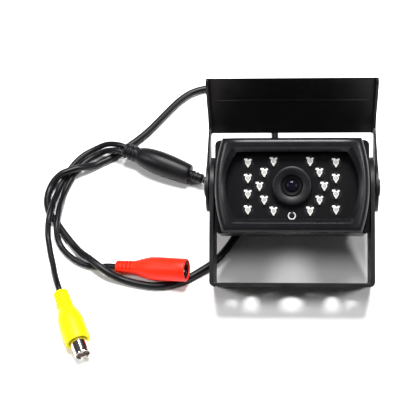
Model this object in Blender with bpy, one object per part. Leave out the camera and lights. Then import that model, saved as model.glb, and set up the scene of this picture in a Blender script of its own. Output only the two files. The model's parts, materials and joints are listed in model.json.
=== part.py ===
"""Backup camera kit: camera head, U-bracket, sun visor and a Y-cable with a video and a power connector.

The camera lies back on a table, on the rear edge of its bracket and on its own cable, with the lens
looking up and forward. Lengths are millimetres until mesh data is written, where MM turns them into metres.

Unit frame, used by the head, bracket and visor: the origin is on the pivot axis, +X is to the right,
-Y is the way the lens looks and +Z is up through the top of the head. "front" and "rear" values are
distances forward of the pivot axis, so they are minus Y.
Table frame, used by the cords: the origin is on the table straight below the pivot axis.
"""

from math import asin, atan2, cos, hypot, pi, radians, sin

import bmesh
import bpy
from mathutils import Vector

MM = 0.001
TOUCH = 0.3                        # gap between two pieces that touch
CORD_GAP = 0.6                     # gap between a cord's end and what it goes into
TURN_CLEARANCE = 0.3               # radial gap of a bolt in its hole

# Pose
LENS_ELEVATION = radians(61.0)     # lens axis above the table
VISOR_TILT = radians(38.0)         # visor swung back from level

# Head
HEAD_WIDTH = 75.0
HEAD_HEIGHT = 45.6
HEAD_DROP = 0.6                    # head's middle below the pivot axis
HEAD_CORNER = 2.5
HEAD_WALL = 2.2
BEZEL_FRONT = 25.3
BEZEL_REAR = 14.0
BEZEL_WIDTH = 74.3
BEZEL_END_WIDTH = 66.9             # width along the top and bottom edges
BEZEL_WALL = 2.2
BEZEL_ROUND = 2.4
LIP_THICKNESS = 2.7
WINDOW_HEIGHT = 32.2
WINDOW_WIDTH = 63.6
WINDOW_END_WIDTH = 52.6
WINDOW_SLOPE = 2.2                 # how far the window's edge slopes outward to the front
COVER_THICKNESS = 2.4
COVER_REAR = -20.0
REAR_GASKET_THICKNESS = 0.6
COVER_SCREW_INSET = 5.2
COVER_SCREW_RADIUS = 1.5
COVER_SCREW_HEAD = 2.7
COVER_SCREW_HEAD_HEIGHT = 1.5
COVER_SCREW_LENGTH = 7.0

# Window and what is behind it
GLASS_THICKNESS = 1.2
GLASS_LAP = 1.6                    # glass hidden behind the lip, all round
GLASS_GASKET = 0.6
GASKET_BAND = 1.3
BOARD_THICKNESS = 1.6
LED_RADIUS = 2.4
LED_FLANGE = 2.8
LED_HEIGHT = 2.8
LED_COLUMN_X = 21.2
LED_PITCH = 7.6
LED_ARC = ((15.6, 0.0), (13.3, 6.7), (8.8, 12.0))
SENSOR_RADIUS = 2.05
SENSOR_DROP = 14.5                 # light sensor below the window's middle
SHROUD_RADIUS = 9.85
SHROUD_BORE = 5.2
BARREL_RADIUS = 5.8
BARREL_BORE = 4.3
BARREL_LENGTH = 8.8
HOLDER_WALL = 1.4
MAIN_BOARD_REAR = 2.0
MAIN_BOARD_WIDTH = 58.0
MAIN_BOARD_HEIGHT = 34.0
IMAGE_SENSOR_SIDE = 7.6
IMAGE_SENSOR_THICKNESS = 1.5

# Pivot hardware
BOLT_RADIUS = 2.5
BOLT_HEAD_RADIUS = 4.5
BOLT_HEAD_HEIGHT = 1.0
BOLT_REACH = 6.5                   # thread inside the head's wall and boss
BOLT_KEY = 3.0                     # hexagon socket, across flats
BOSS_WALL = 2.4
WASHER_THICKNESS = 0.4
WASHER_RADIUS = 5.6

# U-bracket
BRACKET_WIDTH = HEAD_WIDTH + 5.0
BRACKET_THICKNESS = 2.0
BRACKET_STRIP = 30.0
BRACKET_DROP = 49.3                # underside of the base below the pivot axis
BRACKET_BEND = 2.6
BASE_HOLE_RADIUS = 5.5
SLOT_X = 20.0
SLOT_WIDTH = 5.5
SLOT_LENGTH = 12.0
SCREW_HOLE_X = 29.5
SCREW_HOLE_RADIUS = 2.6

# Sun visor
VISOR_THICKNESS = 1.2
VISOR_EAR = 12.0
VISOR_ARM = 21.0                   # width of the arm
VISOR_HEIGHT = 34.4                # outer face of the roof above the pivot axis, visor level
VISOR_REAR = 4.7
VISOR_CREASE = 24.7
VISOR_FRONT = 44.1
VISOR_NOSE_DROP = 0.8              # how far the front edge dips below the rear of the roof
VISOR_RIM = 4.6
VISOR_BEND = 2.2

# Cable gland
GLAND_FLATS = 11.0
GLAND_HEIGHT = 3.2
GLAND_STEM = 3.4
BOOT_LENGTH = 8.7
BOOT_RADIUS = 4.2
BOOT_TIP = 2.5
NUT_RADIUS = 5.4
NUT_THICKNESS = 2.4

# Cords and what is on them, in the table frame
MAIN_DIAMETER = 3.8
LEAD_DIAMETER = 3.1
CORD_SPACING = 2.3                 # distance between a cord's points, in diameters
SPLITTER_START = Vector((-89.8, 43.2, 8.4))
SPLITTER_END = Vector((-47.1, 25.9, 5.6))
LEAD_OFFSET = 1.8                  # each lead beside the splitter's axis
VIDEO_PLUG_TAIL = Vector((-116.5, -43.4, 6.6))
VIDEO_PLUG_TIP = Vector((-102.0, -78.0, 6.6))
POWER_PLUG_TAIL = Vector((-89.5, -26.5, 3.7))
POWER_PLUG_TIP = Vector((-52.7, -32.2, 10.3))
RCA_RADIUS = 4.15
RCA_WALL = 0.6
RCA_REACH = 7.7                    # metal barrel outside the yellow moulding
RCA_BURIED = 5.0
CONTACT_RADIUS = 1.3
CONTACT_BORE = 0.85
DC_RADIUS = 4.3
DC_BORE = 2.85
DC_DEPTH = 9.5
DC_PIN_RADIUS = 1.05

SHELL_FRONT = BEZEL_REAR - TOUCH
COVER_FRONT = COVER_REAR + COVER_THICKNESS
GASKET_FRONT = COVER_FRONT + TOUCH + REAR_GASKET_THICKNESS
SHELL_REAR = GASKET_FRONT + TOUCH
LIP_REAR = BEZEL_FRONT - LIP_THICKNESS
GASKET_REAR = LIP_REAR - TOUCH - GLASS_GASKET
GLASS_FRONT = GASKET_REAR - TOUCH
GLASS_REAR = GLASS_FRONT - GLASS_THICKNESS
LED_FRONT = GLASS_REAR - TOUCH
LED_REAR = LED_FRONT - LED_HEIGHT
BOARD_FRONT = LED_REAR - TOUCH
BOARD_REAR = BOARD_FRONT - BOARD_THICKNESS
PIVOT_HEIGHT = BRACKET_STRIP / 2 * sin(LENS_ELEVATION) + BRACKET_DROP * cos(LENS_ELEVATION)


def turned_back(forward, up, angle):
    """A point of the visor's side view once the visor has swung back by angle."""
    return forward * cos(angle) - up * sin(angle), forward * sin(angle) + up * cos(angle)


def on_table(forward, up):
    """How far a point of the unit's side view lies behind the pivot axis, along the table."""
    return -forward * cos(LENS_ELEVATION) + up * sin(LENS_ELEVATION)


VISOR_TIP = on_table(*turned_back(VISOR_FRONT, VISOR_HEIGHT - VISOR_NOSE_DROP, VISOR_TILT))
BASE_TIP = on_table(BRACKET_STRIP / 2, -BRACKET_DROP)
PIVOT_Y = -(VISOR_TIP + BASE_TIP) / 2   # sets the middle of the unit over the origin

FINISHES = {
    "black_housing": ((0.030, 0.030, 0.033), 0.45, 0.0),
    "black_paint": ((0.014, 0.014, 0.016), 0.42, 0.0),
    "black_rubber": ((0.020, 0.020, 0.022), 0.60, 0.0),
    "black_cable": ((0.024, 0.024, 0.026), 0.45, 0.0),
    "board_black": ((0.010, 0.010, 0.012), 0.50, 0.0),
    "board_green": ((0.020, 0.120, 0.050), 0.45, 0.0),
    "smoked_glass": ((0.050, 0.050, 0.055), 0.05, 0.0),
    "clear_resin": ((0.850, 0.850, 0.870), 0.08, 0.0),
    "lens_glass": ((0.020, 0.022, 0.035), 0.03, 0.0),
    "zinc_steel": ((0.550, 0.550, 0.560), 0.30, 1.0),
    "black_steel": ((0.030, 0.030, 0.032), 0.35, 1.0),
    "nylon": ((0.700, 0.690, 0.660), 0.55, 0.0),
    "yellow_pvc": ((0.950, 0.900, 0.010), 0.38, 0.0),
    "red_pvc": ((0.900, 0.035, 0.015), 0.38, 0.0),
    "chrome": ((0.800, 0.800, 0.810), 0.12, 1.0),
    "brown_insulator": ((0.110, 0.055, 0.030), 0.45, 0.0),
}


def clear_scene():
    for thing in list(bpy.data.objects):
        bpy.data.objects.remove(thing)


def finish(name):
    """The material of that name, made the first time it is asked for."""
    if name in bpy.data.materials:
        return bpy.data.materials[name]
    colour, roughness, metallic = FINISHES[name]
    material = bpy.data.materials.new(name)
    material.use_nodes = True
    shader = material.node_tree.nodes["Principled BSDF"]
    shader.inputs["Base Color"].default_value = (*colour, 1.0)
    shader.inputs["Roughness"].default_value = roughness
    shader.inputs["Metallic"].default_value = metallic
    material.diffuse_color = (*colour, 1.0)
    return material


def frame_at(name, location, rotation=(0.0, 0.0, 0.0), parent=None):
    empty = bpy.data.objects.new(name, None)
    empty.location = Vector(location) * MM
    empty.rotation_euler = rotation
    empty.parent = parent
    bpy.context.scene.collection.objects.link(empty)
    return empty


def frame_along(name, start, end):
    """An empty at start, with its +X towards end and its +Z as near upright as it can be."""
    run = end - start
    turn = (0.0, -asin(run.z / run.length), atan2(run.y, run.x))
    return frame_at(name, start + Vector((0.0, PIVOT_Y, 0.0)), turn)


def solid(name, bm, material, parent, sharp=35.0):
    """Turns the bmesh into an object, in metres, smooth apart from its sharp edges."""
    bmesh.ops.remove_doubles(bm, verts=bm.verts, dist=1e-4)
    bmesh.ops.recalc_face_normals(bm, faces=bm.faces)
    bmesh.ops.scale(bm, vec=(MM, MM, MM), verts=bm.verts)
    mesh = bpy.data.meshes.new(name)
    bm.to_mesh(mesh)
    bm.free()
    mesh.materials.append(finish(material))
    mesh.shade_smooth()
    mesh.set_sharp_from_angle(angle=radians(sharp))
    thing = bpy.data.objects.new(name, mesh)
    thing.parent = parent
    bpy.context.scene.collection.objects.link(thing)
    return thing


def copy_of(thing, name, parent, location):
    other = bpy.data.objects.new(name, thing.data)
    other.parent = parent
    other.location = Vector(location) * MM
    bpy.context.scene.collection.objects.link(other)
    return other


def as_cutter(thing):
    thing.hide_render = True
    thing.display_type = "WIRE"
    return thing


def combine(thing, other, operation):
    """A Boolean of the two, with other left as a hidden guide."""
    modifier = thing.modifiers.new(f"{operation.lower()}_{other.name}", "BOOLEAN")
    modifier.operation = operation
    modifier.solver = "EXACT"
    modifier.object = as_cutter(other)


# Axis of an extrusion: where the outline's two coordinates and the extrusion go.
PLACES = {
    "X": lambda across, up, along: (along, across, up),
    "Y": lambda across, up, along: (across, along, up),
    "Z": lambda across, up, along: (across, up, along),
}


def extrusion(outline, start, end, axis, far_outline=None):
    """A closed prism from start to end. A far_outline with as many points makes its sides slope."""
    place = PLACES[axis]
    bm = bmesh.new()
    near = [bm.verts.new(place(a, b, start)) for a, b in outline]
    far = [bm.verts.new(place(a, b, end)) for a, b in (far_outline or outline)]
    bm.faces.new(near)
    bm.faces.new(list(reversed(far)))
    for i, corner in enumerate(near):
        j = (i + 1) % len(near)
        bm.faces.new((near[j], corner, far[i], far[j]))
    return bm


def turning(profile, segments, axis="Z"):
    """Spins a closed or axis-to-axis profile of (radius, along) points round Z, X or Y."""
    bm = bmesh.new()
    points = [bm.verts.new((radius, 0.0, along)) for radius, along in profile]
    pairs = list(zip(points, points[1:]))
    if profile[0][0] > 0:
        pairs.append((points[-1], points[0]))
    edges = [bm.edges.new(pair) for pair in pairs]
    bmesh.ops.spin(
        bm,
        geom=points + edges,
        cent=(0, 0, 0),
        axis=(0, 0, 1),
        angle=2 * pi,
        steps=segments,
        use_merge=True,
    )
    bmesh.ops.remove_doubles(bm, verts=bm.verts, dist=1e-4)
    bmesh.ops.dissolve_degenerate(bm, dist=1e-5, edges=bm.edges)
    for vert in bm.verts:
        x, y, z = vert.co
        vert.co = {"Z": (x, y, z), "X": (z, x, y), "Y": (y, z, x)}[axis]
    return bm


def moved(bm, x=0.0, y=0.0, z=0.0):
    bmesh.ops.translate(bm, vec=(x, y, z), verts=bm.verts)
    return bm


def disc(radius, start, end, segments=24, axis="Y"):
    return turning([(0.0, start), (radius, start), (radius, end), (0.0, end)], segments, axis)


def ring(inner, outer, start, end, segments=32, axis="Y"):
    return turning([(inner, start), (outer, start), (outer, end), (inner, end)], segments, axis)


def arc(centre, radius, start, end, steps):
    """Points from angle start to angle end, both included."""
    angles = [start + (end - start) * i / steps for i in range(steps + 1)]
    return [(centre[0] + radius * cos(a), centre[1] + radius * sin(a)) for a in angles]


def rounded_rectangle(width, height, radius, steps=4):
    x, z = width / 2 - radius, height / 2 - radius
    outline = []
    for quarter, centre in enumerate(((x, z), (-x, z), (-x, -z), (x, -z))):
        outline += arc(centre, radius, quarter * pi / 2, (quarter + 1) * pi / 2, steps)
    return outline


def barrel_outline(width, end_width, height, steps=8):
    """Flat top and bottom, with sides that are arcs bulging outward from end_width to width."""
    bulge = (width - end_width) / 2
    radius = ((height / 2) ** 2 + bulge ** 2) / (2 * bulge)
    half_angle = asin(height / 2 / radius)
    centre = width / 2 - radius
    right = arc((centre, 0.0), radius, -half_angle, half_angle, steps)
    left = arc((-centre, 0.0), radius, pi - half_angle, pi + half_angle, steps)
    return right + left


def hexagon(flats):
    return arc((0.0, 0.0), flats / 2 / cos(pi / 6), 0.0, 5 * pi / 3, 5)


def slot_outline(width, length, steps=6):
    """A slot that is long in its second coordinate."""
    reach = (length - width) / 2
    top = arc((0.0, reach), width / 2, 0.0, pi, steps)
    return top + arc((0.0, -reach), width / 2, pi, 2 * pi, steps)


def build_bezel(unit):
    """The front frame: a barrel-shaped cup with a rounded rim, a rear pocket and a sloping window edge."""
    rows = [(BEZEL_REAR, 0.0)]
    for angle in (0, 30, 60, 90):
        inset = BEZEL_ROUND * (1 - cos(radians(angle)))
        rows.append((BEZEL_FRONT - BEZEL_ROUND + BEZEL_ROUND * sin(radians(angle)), inset))
    bm = bmesh.new()
    loops = []
    for depth, inset in rows:
        outline = barrel_outline(BEZEL_WIDTH - 2 * inset, BEZEL_END_WIDTH - 2 * inset, HEAD_HEIGHT - 2 * inset)
        loops.append([bm.verts.new((x, -depth, z - HEAD_DROP)) for x, z in outline])
    bm.faces.new(loops[0])
    bm.faces.new(list(reversed(loops[-1])))
    for near, far in zip(loops, loops[1:]):
        for i, corner in enumerate(near):
            j = (i + 1) % len(near)
            bm.faces.new((near[j], corner, far[i], far[j]))
    bezel = solid("front_bezel", bm, "black_housing", unit)

    pocket = barrel_outline(
        BEZEL_WIDTH - 2 * BEZEL_WALL, BEZEL_END_WIDTH - 2 * BEZEL_WALL, HEAD_HEIGHT - 2 * BEZEL_WALL
    )
    cut = moved(extrusion(pocket, -LIP_REAR, -BEZEL_REAR + 1.0, "Y"), z=-HEAD_DROP)
    combine(bezel, solid("bezel_pocket", cut, "black_housing", unit), "DIFFERENCE")

    window = barrel_outline(WINDOW_WIDTH, WINDOW_END_WIDTH, WINDOW_HEIGHT)
    past = 1.0 + 2 * WINDOW_SLOPE / LIP_THICKNESS
    mouth = barrel_outline(
        WINDOW_WIDTH + WINDOW_SLOPE * past, WINDOW_END_WIDTH + WINDOW_SLOPE * past, WINDOW_HEIGHT + WINDOW_SLOPE * past
    )
    tunnel = moved(extrusion(window, -LIP_REAR - 0.6, -LIP_REAR + 1.0, "Y"), z=-HEAD_DROP)
    combine(bezel, solid("window_tunnel", tunnel, "black_housing", unit), "DIFFERENCE")
    slope = moved(extrusion(window, -LIP_REAR - 0.5, -BEZEL_FRONT - 0.5, "Y", mouth), z=-HEAD_DROP)
    combine(bezel, solid("window_slope", slope, "black_housing", unit), "DIFFERENCE")

    notch = disc(SENSOR_RADIUS + TOUCH, -BEZEL_FRONT - 1.0, -LIP_REAR + 1.0, 20)
    combine(
        bezel,
        solid("sensor_notch", moved(notch, z=-HEAD_DROP - SENSOR_DROP), "black_housing", unit),
        "DIFFERENCE",
    )
    return bezel


def pane_outline(lap):
    return barrel_outline(WINDOW_WIDTH + 2 * lap, WINDOW_END_WIDTH + 2 * lap, WINDOW_HEIGHT + 2 * lap)


def build_window(unit):
    pane = extrusion(pane_outline(GLASS_LAP), -GLASS_FRONT, -GLASS_REAR, "Y")
    solid("front_glass", moved(pane, z=-HEAD_DROP), "smoked_glass", unit)
    seal = extrusion(pane_outline(GLASS_LAP), -GASKET_REAR - GLASS_GASKET, -GASKET_REAR, "Y")
    gasket = solid("glass_gasket", moved(seal, z=-HEAD_DROP), "black_rubber", unit)
    opening = extrusion(pane_outline(GLASS_LAP - GASKET_BAND), -LIP_REAR, -GASKET_REAR + 1.0, "Y")
    combine(gasket, solid("gasket_opening", moved(opening, z=-HEAD_DROP), "black_rubber", unit), "DIFFERENCE")


def led_places():
    """Two columns of four beside the lens, and an arc of five round each side of it."""
    places = []
    for side in (-1, 1):
        for row in range(4):
            places.append((side * LED_COLUMN_X, (1.5 - row) * LED_PITCH))
        for x, z in LED_ARC:
            places.append((side * x, z))
            if z:
                places.append((side * x, -z))
    return sorted(places)


def build_leds(unit):
    straight = LED_HEIGHT - LED_RADIUS
    profile = [(0.0, 0.0), (LED_FLANGE, 0.0), (LED_FLANGE, 0.5), (LED_RADIUS, 0.5)]
    profile += [
        (LED_RADIUS * cos(radians(a)), max(straight, 0.6) + (LED_HEIGHT - max(straight, 0.6)) * sin(radians(a)))
        for a in (0, 35, 65)
    ]
    profile.append((0.0, LED_HEIGHT))
    first = None
    for number, (x, z) in enumerate(led_places(), start=1):
        name, where = f"ir_led_{number:02d}", (x, -LED_REAR, z - HEAD_DROP)
        if first is None:
            dome = turning([(radius, -along) for radius, along in profile], 12, "Y")
            first = solid(name, dome, "clear_resin", unit)
            first.location = Vector(where) * MM
        else:
            copy_of(first, name, unit, where)


def build_optics(unit):
    """LED board, light sensor, lens, lens holder, image sensor and main board, all behind the window."""
    board = extrusion(pane_outline(1.2), -BOARD_FRONT, -BOARD_REAR, "Y")
    led_board = solid("led_board", moved(board, z=-HEAD_DROP), "board_black", unit)
    hole = disc(BARREL_RADIUS + TOUCH, -BOARD_FRONT - 1.0, -BOARD_REAR + 1.0)
    combine(led_board, solid("lens_hole", moved(hole, z=-HEAD_DROP), "board_black", unit), "DIFFERENCE")

    cell = turning(
        [
            (0.0, -LED_REAR),
            (SENSOR_RADIUS, -LED_REAR),
            (SENSOR_RADIUS, -LED_FRONT + 0.4),
            (SENSOR_RADIUS - 0.4, -LED_FRONT),
            (0.0, -LED_FRONT),
        ],
        20,
        "Y",
    )
    solid("light_sensor", moved(cell, z=-HEAD_DROP - SENSOR_DROP), "clear_resin", unit)

    shroud = turning(
        [
            (SHROUD_BORE, -LED_REAR),
            (SHROUD_RADIUS, -LED_REAR),
            (SHROUD_RADIUS, -LED_FRONT + 0.8),
            (SHROUD_RADIUS - 0.8, -LED_FRONT),
            (SHROUD_RADIUS - 2.2, -LED_FRONT),
            (SHROUD_BORE, -LED_FRONT + 1.4),
        ],
        36,
        "Y",
    )
    solid("lens_shroud", moved(shroud, z=-HEAD_DROP), "black_housing", unit)

    front = SHROUD_BORE - TOUCH
    glass = turning(
        [(0.0, -LED_REAR), (front, -LED_REAR), (front, -LED_REAR - 0.6)]
        + [(front * cos(radians(a)), -LED_REAR - 0.6 - 1.3 * sin(radians(a))) for a in (30, 55)]
        + [(0.0, -LED_REAR - 1.9)],
        24,
        "Y",
    )
    solid("lens_glass", moved(glass, z=-HEAD_DROP), "lens_glass", unit)

    barrel_rear = BOARD_FRONT - BARREL_LENGTH
    barrel = ring(BARREL_BORE, BARREL_RADIUS, -BOARD_FRONT, -barrel_rear)
    solid("lens_barrel", moved(barrel, z=-HEAD_DROP), "black_housing", unit)

    board_front = MAIN_BOARD_REAR + BOARD_THICKNESS
    holder_front = BOARD_REAR - 1.0
    bore = BARREL_RADIUS + TOUCH
    holder = ring(bore, bore + HOLDER_WALL, -holder_front, -board_front - TOUCH)
    solid("lens_holder", moved(holder, z=-HEAD_DROP), "black_housing", unit)

    side = IMAGE_SENSOR_SIDE
    chip_rear = board_front + TOUCH
    chip = extrusion(
        rounded_rectangle(side, side, 0.4, 1), -chip_rear - IMAGE_SENSOR_THICKNESS, -chip_rear, "Y"
    )
    solid("image_sensor", moved(chip, z=-HEAD_DROP), "board_black", unit)
    plate = extrusion(
        rounded_rectangle(MAIN_BOARD_WIDTH, MAIN_BOARD_HEIGHT, 1.5, 2), -board_front, -MAIN_BOARD_REAR, "Y"
    )
    solid("main_board", moved(plate, z=-HEAD_DROP), "board_green", unit)


def screw_places():
    x = HEAD_WIDTH / 2 - COVER_SCREW_INSET
    z = HEAD_HEIGHT / 2 - COVER_SCREW_INSET
    return [(-x, z), (x, z), (-x, -z), (x, -z)]


def build_shell(unit):
    """The box behind the bezel, open front and rear, with a boss for each pivot bolt and rear screw."""
    outer = rounded_rectangle(HEAD_WIDTH, HEAD_HEIGHT, HEAD_CORNER)
    shell = solid(
        "housing_shell",
        moved(extrusion(outer, -SHELL_FRONT, -SHELL_REAR, "Y"), z=-HEAD_DROP),
        "black_housing",
        unit,
    )
    inner = rounded_rectangle(
        HEAD_WIDTH - 2 * HEAD_WALL, HEAD_HEIGHT - 2 * HEAD_WALL, max(HEAD_CORNER - HEAD_WALL, 0.5), 2
    )
    hollow = extrusion(inner, -SHELL_FRONT - 1.0, -SHELL_REAR + 1.0, "Y")
    combine(shell, solid("shell_hollow", moved(hollow, z=-HEAD_DROP), "black_housing", unit), "DIFFERENCE")

    boss_radius = BOLT_RADIUS + TURN_CLEARANCE + BOSS_WALL
    for side, label in ((-1, "left"), (1, "right")):
        outside = side * (HEAD_WIDTH / 2 - HEAD_WALL / 2)
        inside = side * (HEAD_WIDTH / 2 - BOLT_REACH - 2.0)
        boss = disc(boss_radius, min(inside, outside), max(inside, outside), 20, "X")
        combine(shell, solid(f"pivot_boss_{label}", boss, "black_housing", unit), "UNION")
    for number, (x, z) in enumerate(screw_places()):
        post = disc(COVER_SCREW_RADIUS + 1.6, -SHELL_REAR - COVER_SCREW_LENGTH - 2.0, -SHELL_REAR - 0.5, 12)
        post_at = moved(post, x=x, z=z - HEAD_DROP)
        combine(shell, solid(f"screw_post_{number}", post_at, "black_housing", unit), "UNION")
        bore = disc(COVER_SCREW_RADIUS + TOUCH, -SHELL_REAR - COVER_SCREW_LENGTH, -SHELL_REAR + 1.0, 12)
        bore_at = moved(bore, x=x, z=z - HEAD_DROP)
        combine(shell, solid(f"screw_bore_{number}", bore_at, "black_housing", unit), "DIFFERENCE")
    for side, label in ((-1, "left"), (1, "right")):
        near, far = side * (HEAD_WIDTH / 2 + 1.0), side * (HEAD_WIDTH / 2 - BOLT_REACH - 3.0)
        bore = disc(BOLT_RADIUS + TURN_CLEARANCE, min(near, far), max(near, far), 20, "X")
        combine(shell, solid(f"pivot_bore_{label}", bore, "black_housing", unit), "DIFFERENCE")


def build_rear(unit):
    """Rear cover, its gasket and its four screws."""
    outline = rounded_rectangle(HEAD_WIDTH, HEAD_HEIGHT, HEAD_CORNER)
    cover = extrusion(outline, -COVER_FRONT, -COVER_REAR, "Y")
    rear_cover = solid("rear_cover", moved(cover, z=-HEAD_DROP), "black_housing", unit)
    seal = extrusion(outline, -GASKET_FRONT, -GASKET_FRONT + REAR_GASKET_THICKNESS, "Y")
    gasket = solid("rear_gasket", moved(seal, z=-HEAD_DROP), "black_rubber", unit)
    inner = rounded_rectangle(HEAD_WIDTH - 2 * HEAD_WALL, HEAD_HEIGHT - 2 * HEAD_WALL, 3.4, 3)
    opening = extrusion(inner, -GASKET_FRONT - 1.0, -COVER_FRONT, "Y")
    combine(gasket, solid("seal_opening", moved(opening, z=-HEAD_DROP), "black_rubber", unit), "DIFFERENCE")
    stem_hole = disc(GLAND_STEM + TOUCH, -COVER_FRONT - 1.0, -COVER_REAR + 1.0)
    combine(rear_cover, solid("stem_hole", stem_hole, "black_housing", unit), "DIFFERENCE")

    first = None
    for number, (x, z) in enumerate(screw_places(), start=1):
        for piece, name in ((rear_cover, "cover"), (gasket, "gasket")):
            hole = disc(COVER_SCREW_RADIUS + TOUCH, -GASKET_FRONT - 1.0, -COVER_REAR + 1.0, 12)
            hole_at = moved(hole, x=x, z=z - HEAD_DROP)
            combine(piece, solid(f"{name}_screw_hole_{number}", hole_at, "black_housing", unit), "DIFFERENCE")
        where = (x, -COVER_REAR + TOUCH, z - HEAD_DROP)
        if first is None:
            first = solid(f"rear_cover_screw_{number}", screw_shape(), "zinc_steel", unit)
            first.location = Vector(where) * MM
        else:
            copy_of(first, f"rear_cover_screw_{number}", unit, where)


def screw_shape():
    """A pan-head screw along Y, with the underside of its head at the origin and its tip forward."""
    top, tip = COVER_SCREW_HEAD_HEIGHT, COVER_SCREW_LENGTH + COVER_THICKNESS - 1.0
    return turning(
        [
            (0.0, -tip),
            (COVER_SCREW_RADIUS, -tip + 0.8),
            (COVER_SCREW_RADIUS, 0.0),
            (COVER_SCREW_HEAD, 0.0),
            (COVER_SCREW_HEAD, top * 0.5),
            (COVER_SCREW_HEAD * 0.7, top),
            (0.0, top),
        ],
        12,
        "Y",
    )


def build_gland(unit):
    """Cable gland through the rear cover, its lock nut inside, and the ribbed boot that guards the cable."""
    seat = -COVER_REAR + TOUCH
    body = solid("cable_gland", extrusion(hexagon(GLAND_FLATS), seat, seat + GLAND_HEIGHT, "Y"), "black_rubber", unit)
    stem_end = -COVER_FRONT - 3 * TOUCH - REAR_GASKET_THICKNESS - NUT_THICKNESS - 1.0
    stem = disc(GLAND_STEM, stem_end, seat + 1.0)
    combine(body, solid("gland_stem", stem, "black_rubber", unit), "UNION")
    nut_rear = -COVER_FRONT - TOUCH
    nut = ring(GLAND_STEM + TOUCH, NUT_RADIUS, nut_rear - NUT_THICKNESS, nut_rear, 24)
    solid("gland_lock_nut", nut, "black_rubber", unit)

    start = seat + GLAND_HEIGHT + TOUCH
    profile = [(0.0, start), (BOOT_RADIUS, start), (BOOT_RADIUS, start + 1.2)]
    ribs = 3
    pitch = (BOOT_LENGTH - 1.2) / ribs
    for i in range(ribs):
        base = start + 1.2 + i * pitch
        wide = BOOT_RADIUS + (BOOT_TIP - BOOT_RADIUS) * (i + 0.4) / ribs
        profile += [
            (wide - 0.7, base + 0.2),
            (wide - 0.7, base + 0.35 * pitch),
            (wide, base + 0.45 * pitch),
            (wide - 0.1, base + pitch - 0.05),
        ]
    profile += [(BOOT_TIP, start + BOOT_LENGTH), (0.0, start + BOOT_LENGTH)]
    solid("strain_relief", turning(profile, 20, "Y"), "black_rubber", unit)
    return -(start + BOOT_LENGTH)


def build_bracket(unit):
    """Bent strip: a drilled base and two legs with round ends about the pivot axis."""
    hinge = frame_at("bracket_axis", (0, 0, 0), parent=unit)
    half, drop, thick = BRACKET_WIDTH / 2, BRACKET_DROP, BRACKET_THICKNESS
    reach = BRACKET_STRIP / 2
    bend = BRACKET_BEND
    outer = [(-half, reach)] + arc((-half + bend, -drop + bend), bend, pi, 1.5 * pi, 4)
    outer += arc((half - bend, -drop + bend), bend, 1.5 * pi, 2 * pi, 4) + [(half, reach)]
    small = bend - thick
    inner = [(half - thick, reach)] + arc((half - bend, -drop + bend), small, 0.0, -pi / 2, 2)
    inner += arc((-half + bend, -drop + bend), small, -pi / 2, -pi, 2) + [(-half + thick, reach)]
    bracket = solid(
        "u_bracket", extrusion(outer + inner, -reach, reach, "Y"), "black_paint", hinge
    )
    side = arc((0.0, 0.0), reach, 0.0, pi, 20) + [(-reach, -drop - 1.0), (reach, -drop - 1.0)]
    keep = solid("bracket_side", extrusion(side, -half - 1.0, half + 1.0, "X"), "black_paint", hinge)
    combine(bracket, keep, "INTERSECT")
    bore = disc(BOLT_RADIUS + TURN_CLEARANCE, -half - 1.0, half + 1.0, 20, "X")
    combine(bracket, solid("bracket_pivot_holes", bore, "black_paint", hinge), "DIFFERENCE")

    low, high = -drop - 1.0, -drop + thick + 1.0
    cuts = [("base_hole", disc(BASE_HOLE_RADIUS, low, high, 24, "Z"))]
    for x, label in ((-1, "left"), (1, "right")):
        slot = extrusion(slot_outline(SLOT_WIDTH, SLOT_LENGTH), low, high, "Z")
        cuts.append((f"base_slot_{label}", moved(slot, x=x * SLOT_X)))
        hole = disc(SCREW_HOLE_RADIUS, low, high, 16, "Z")
        cuts.append((f"base_screw_hole_{label}", moved(hole, x=x * SCREW_HOLE_X)))
    for name, shape in cuts:
        combine(bracket, solid(name, shape, "black_paint", hinge), "DIFFERENCE")


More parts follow.
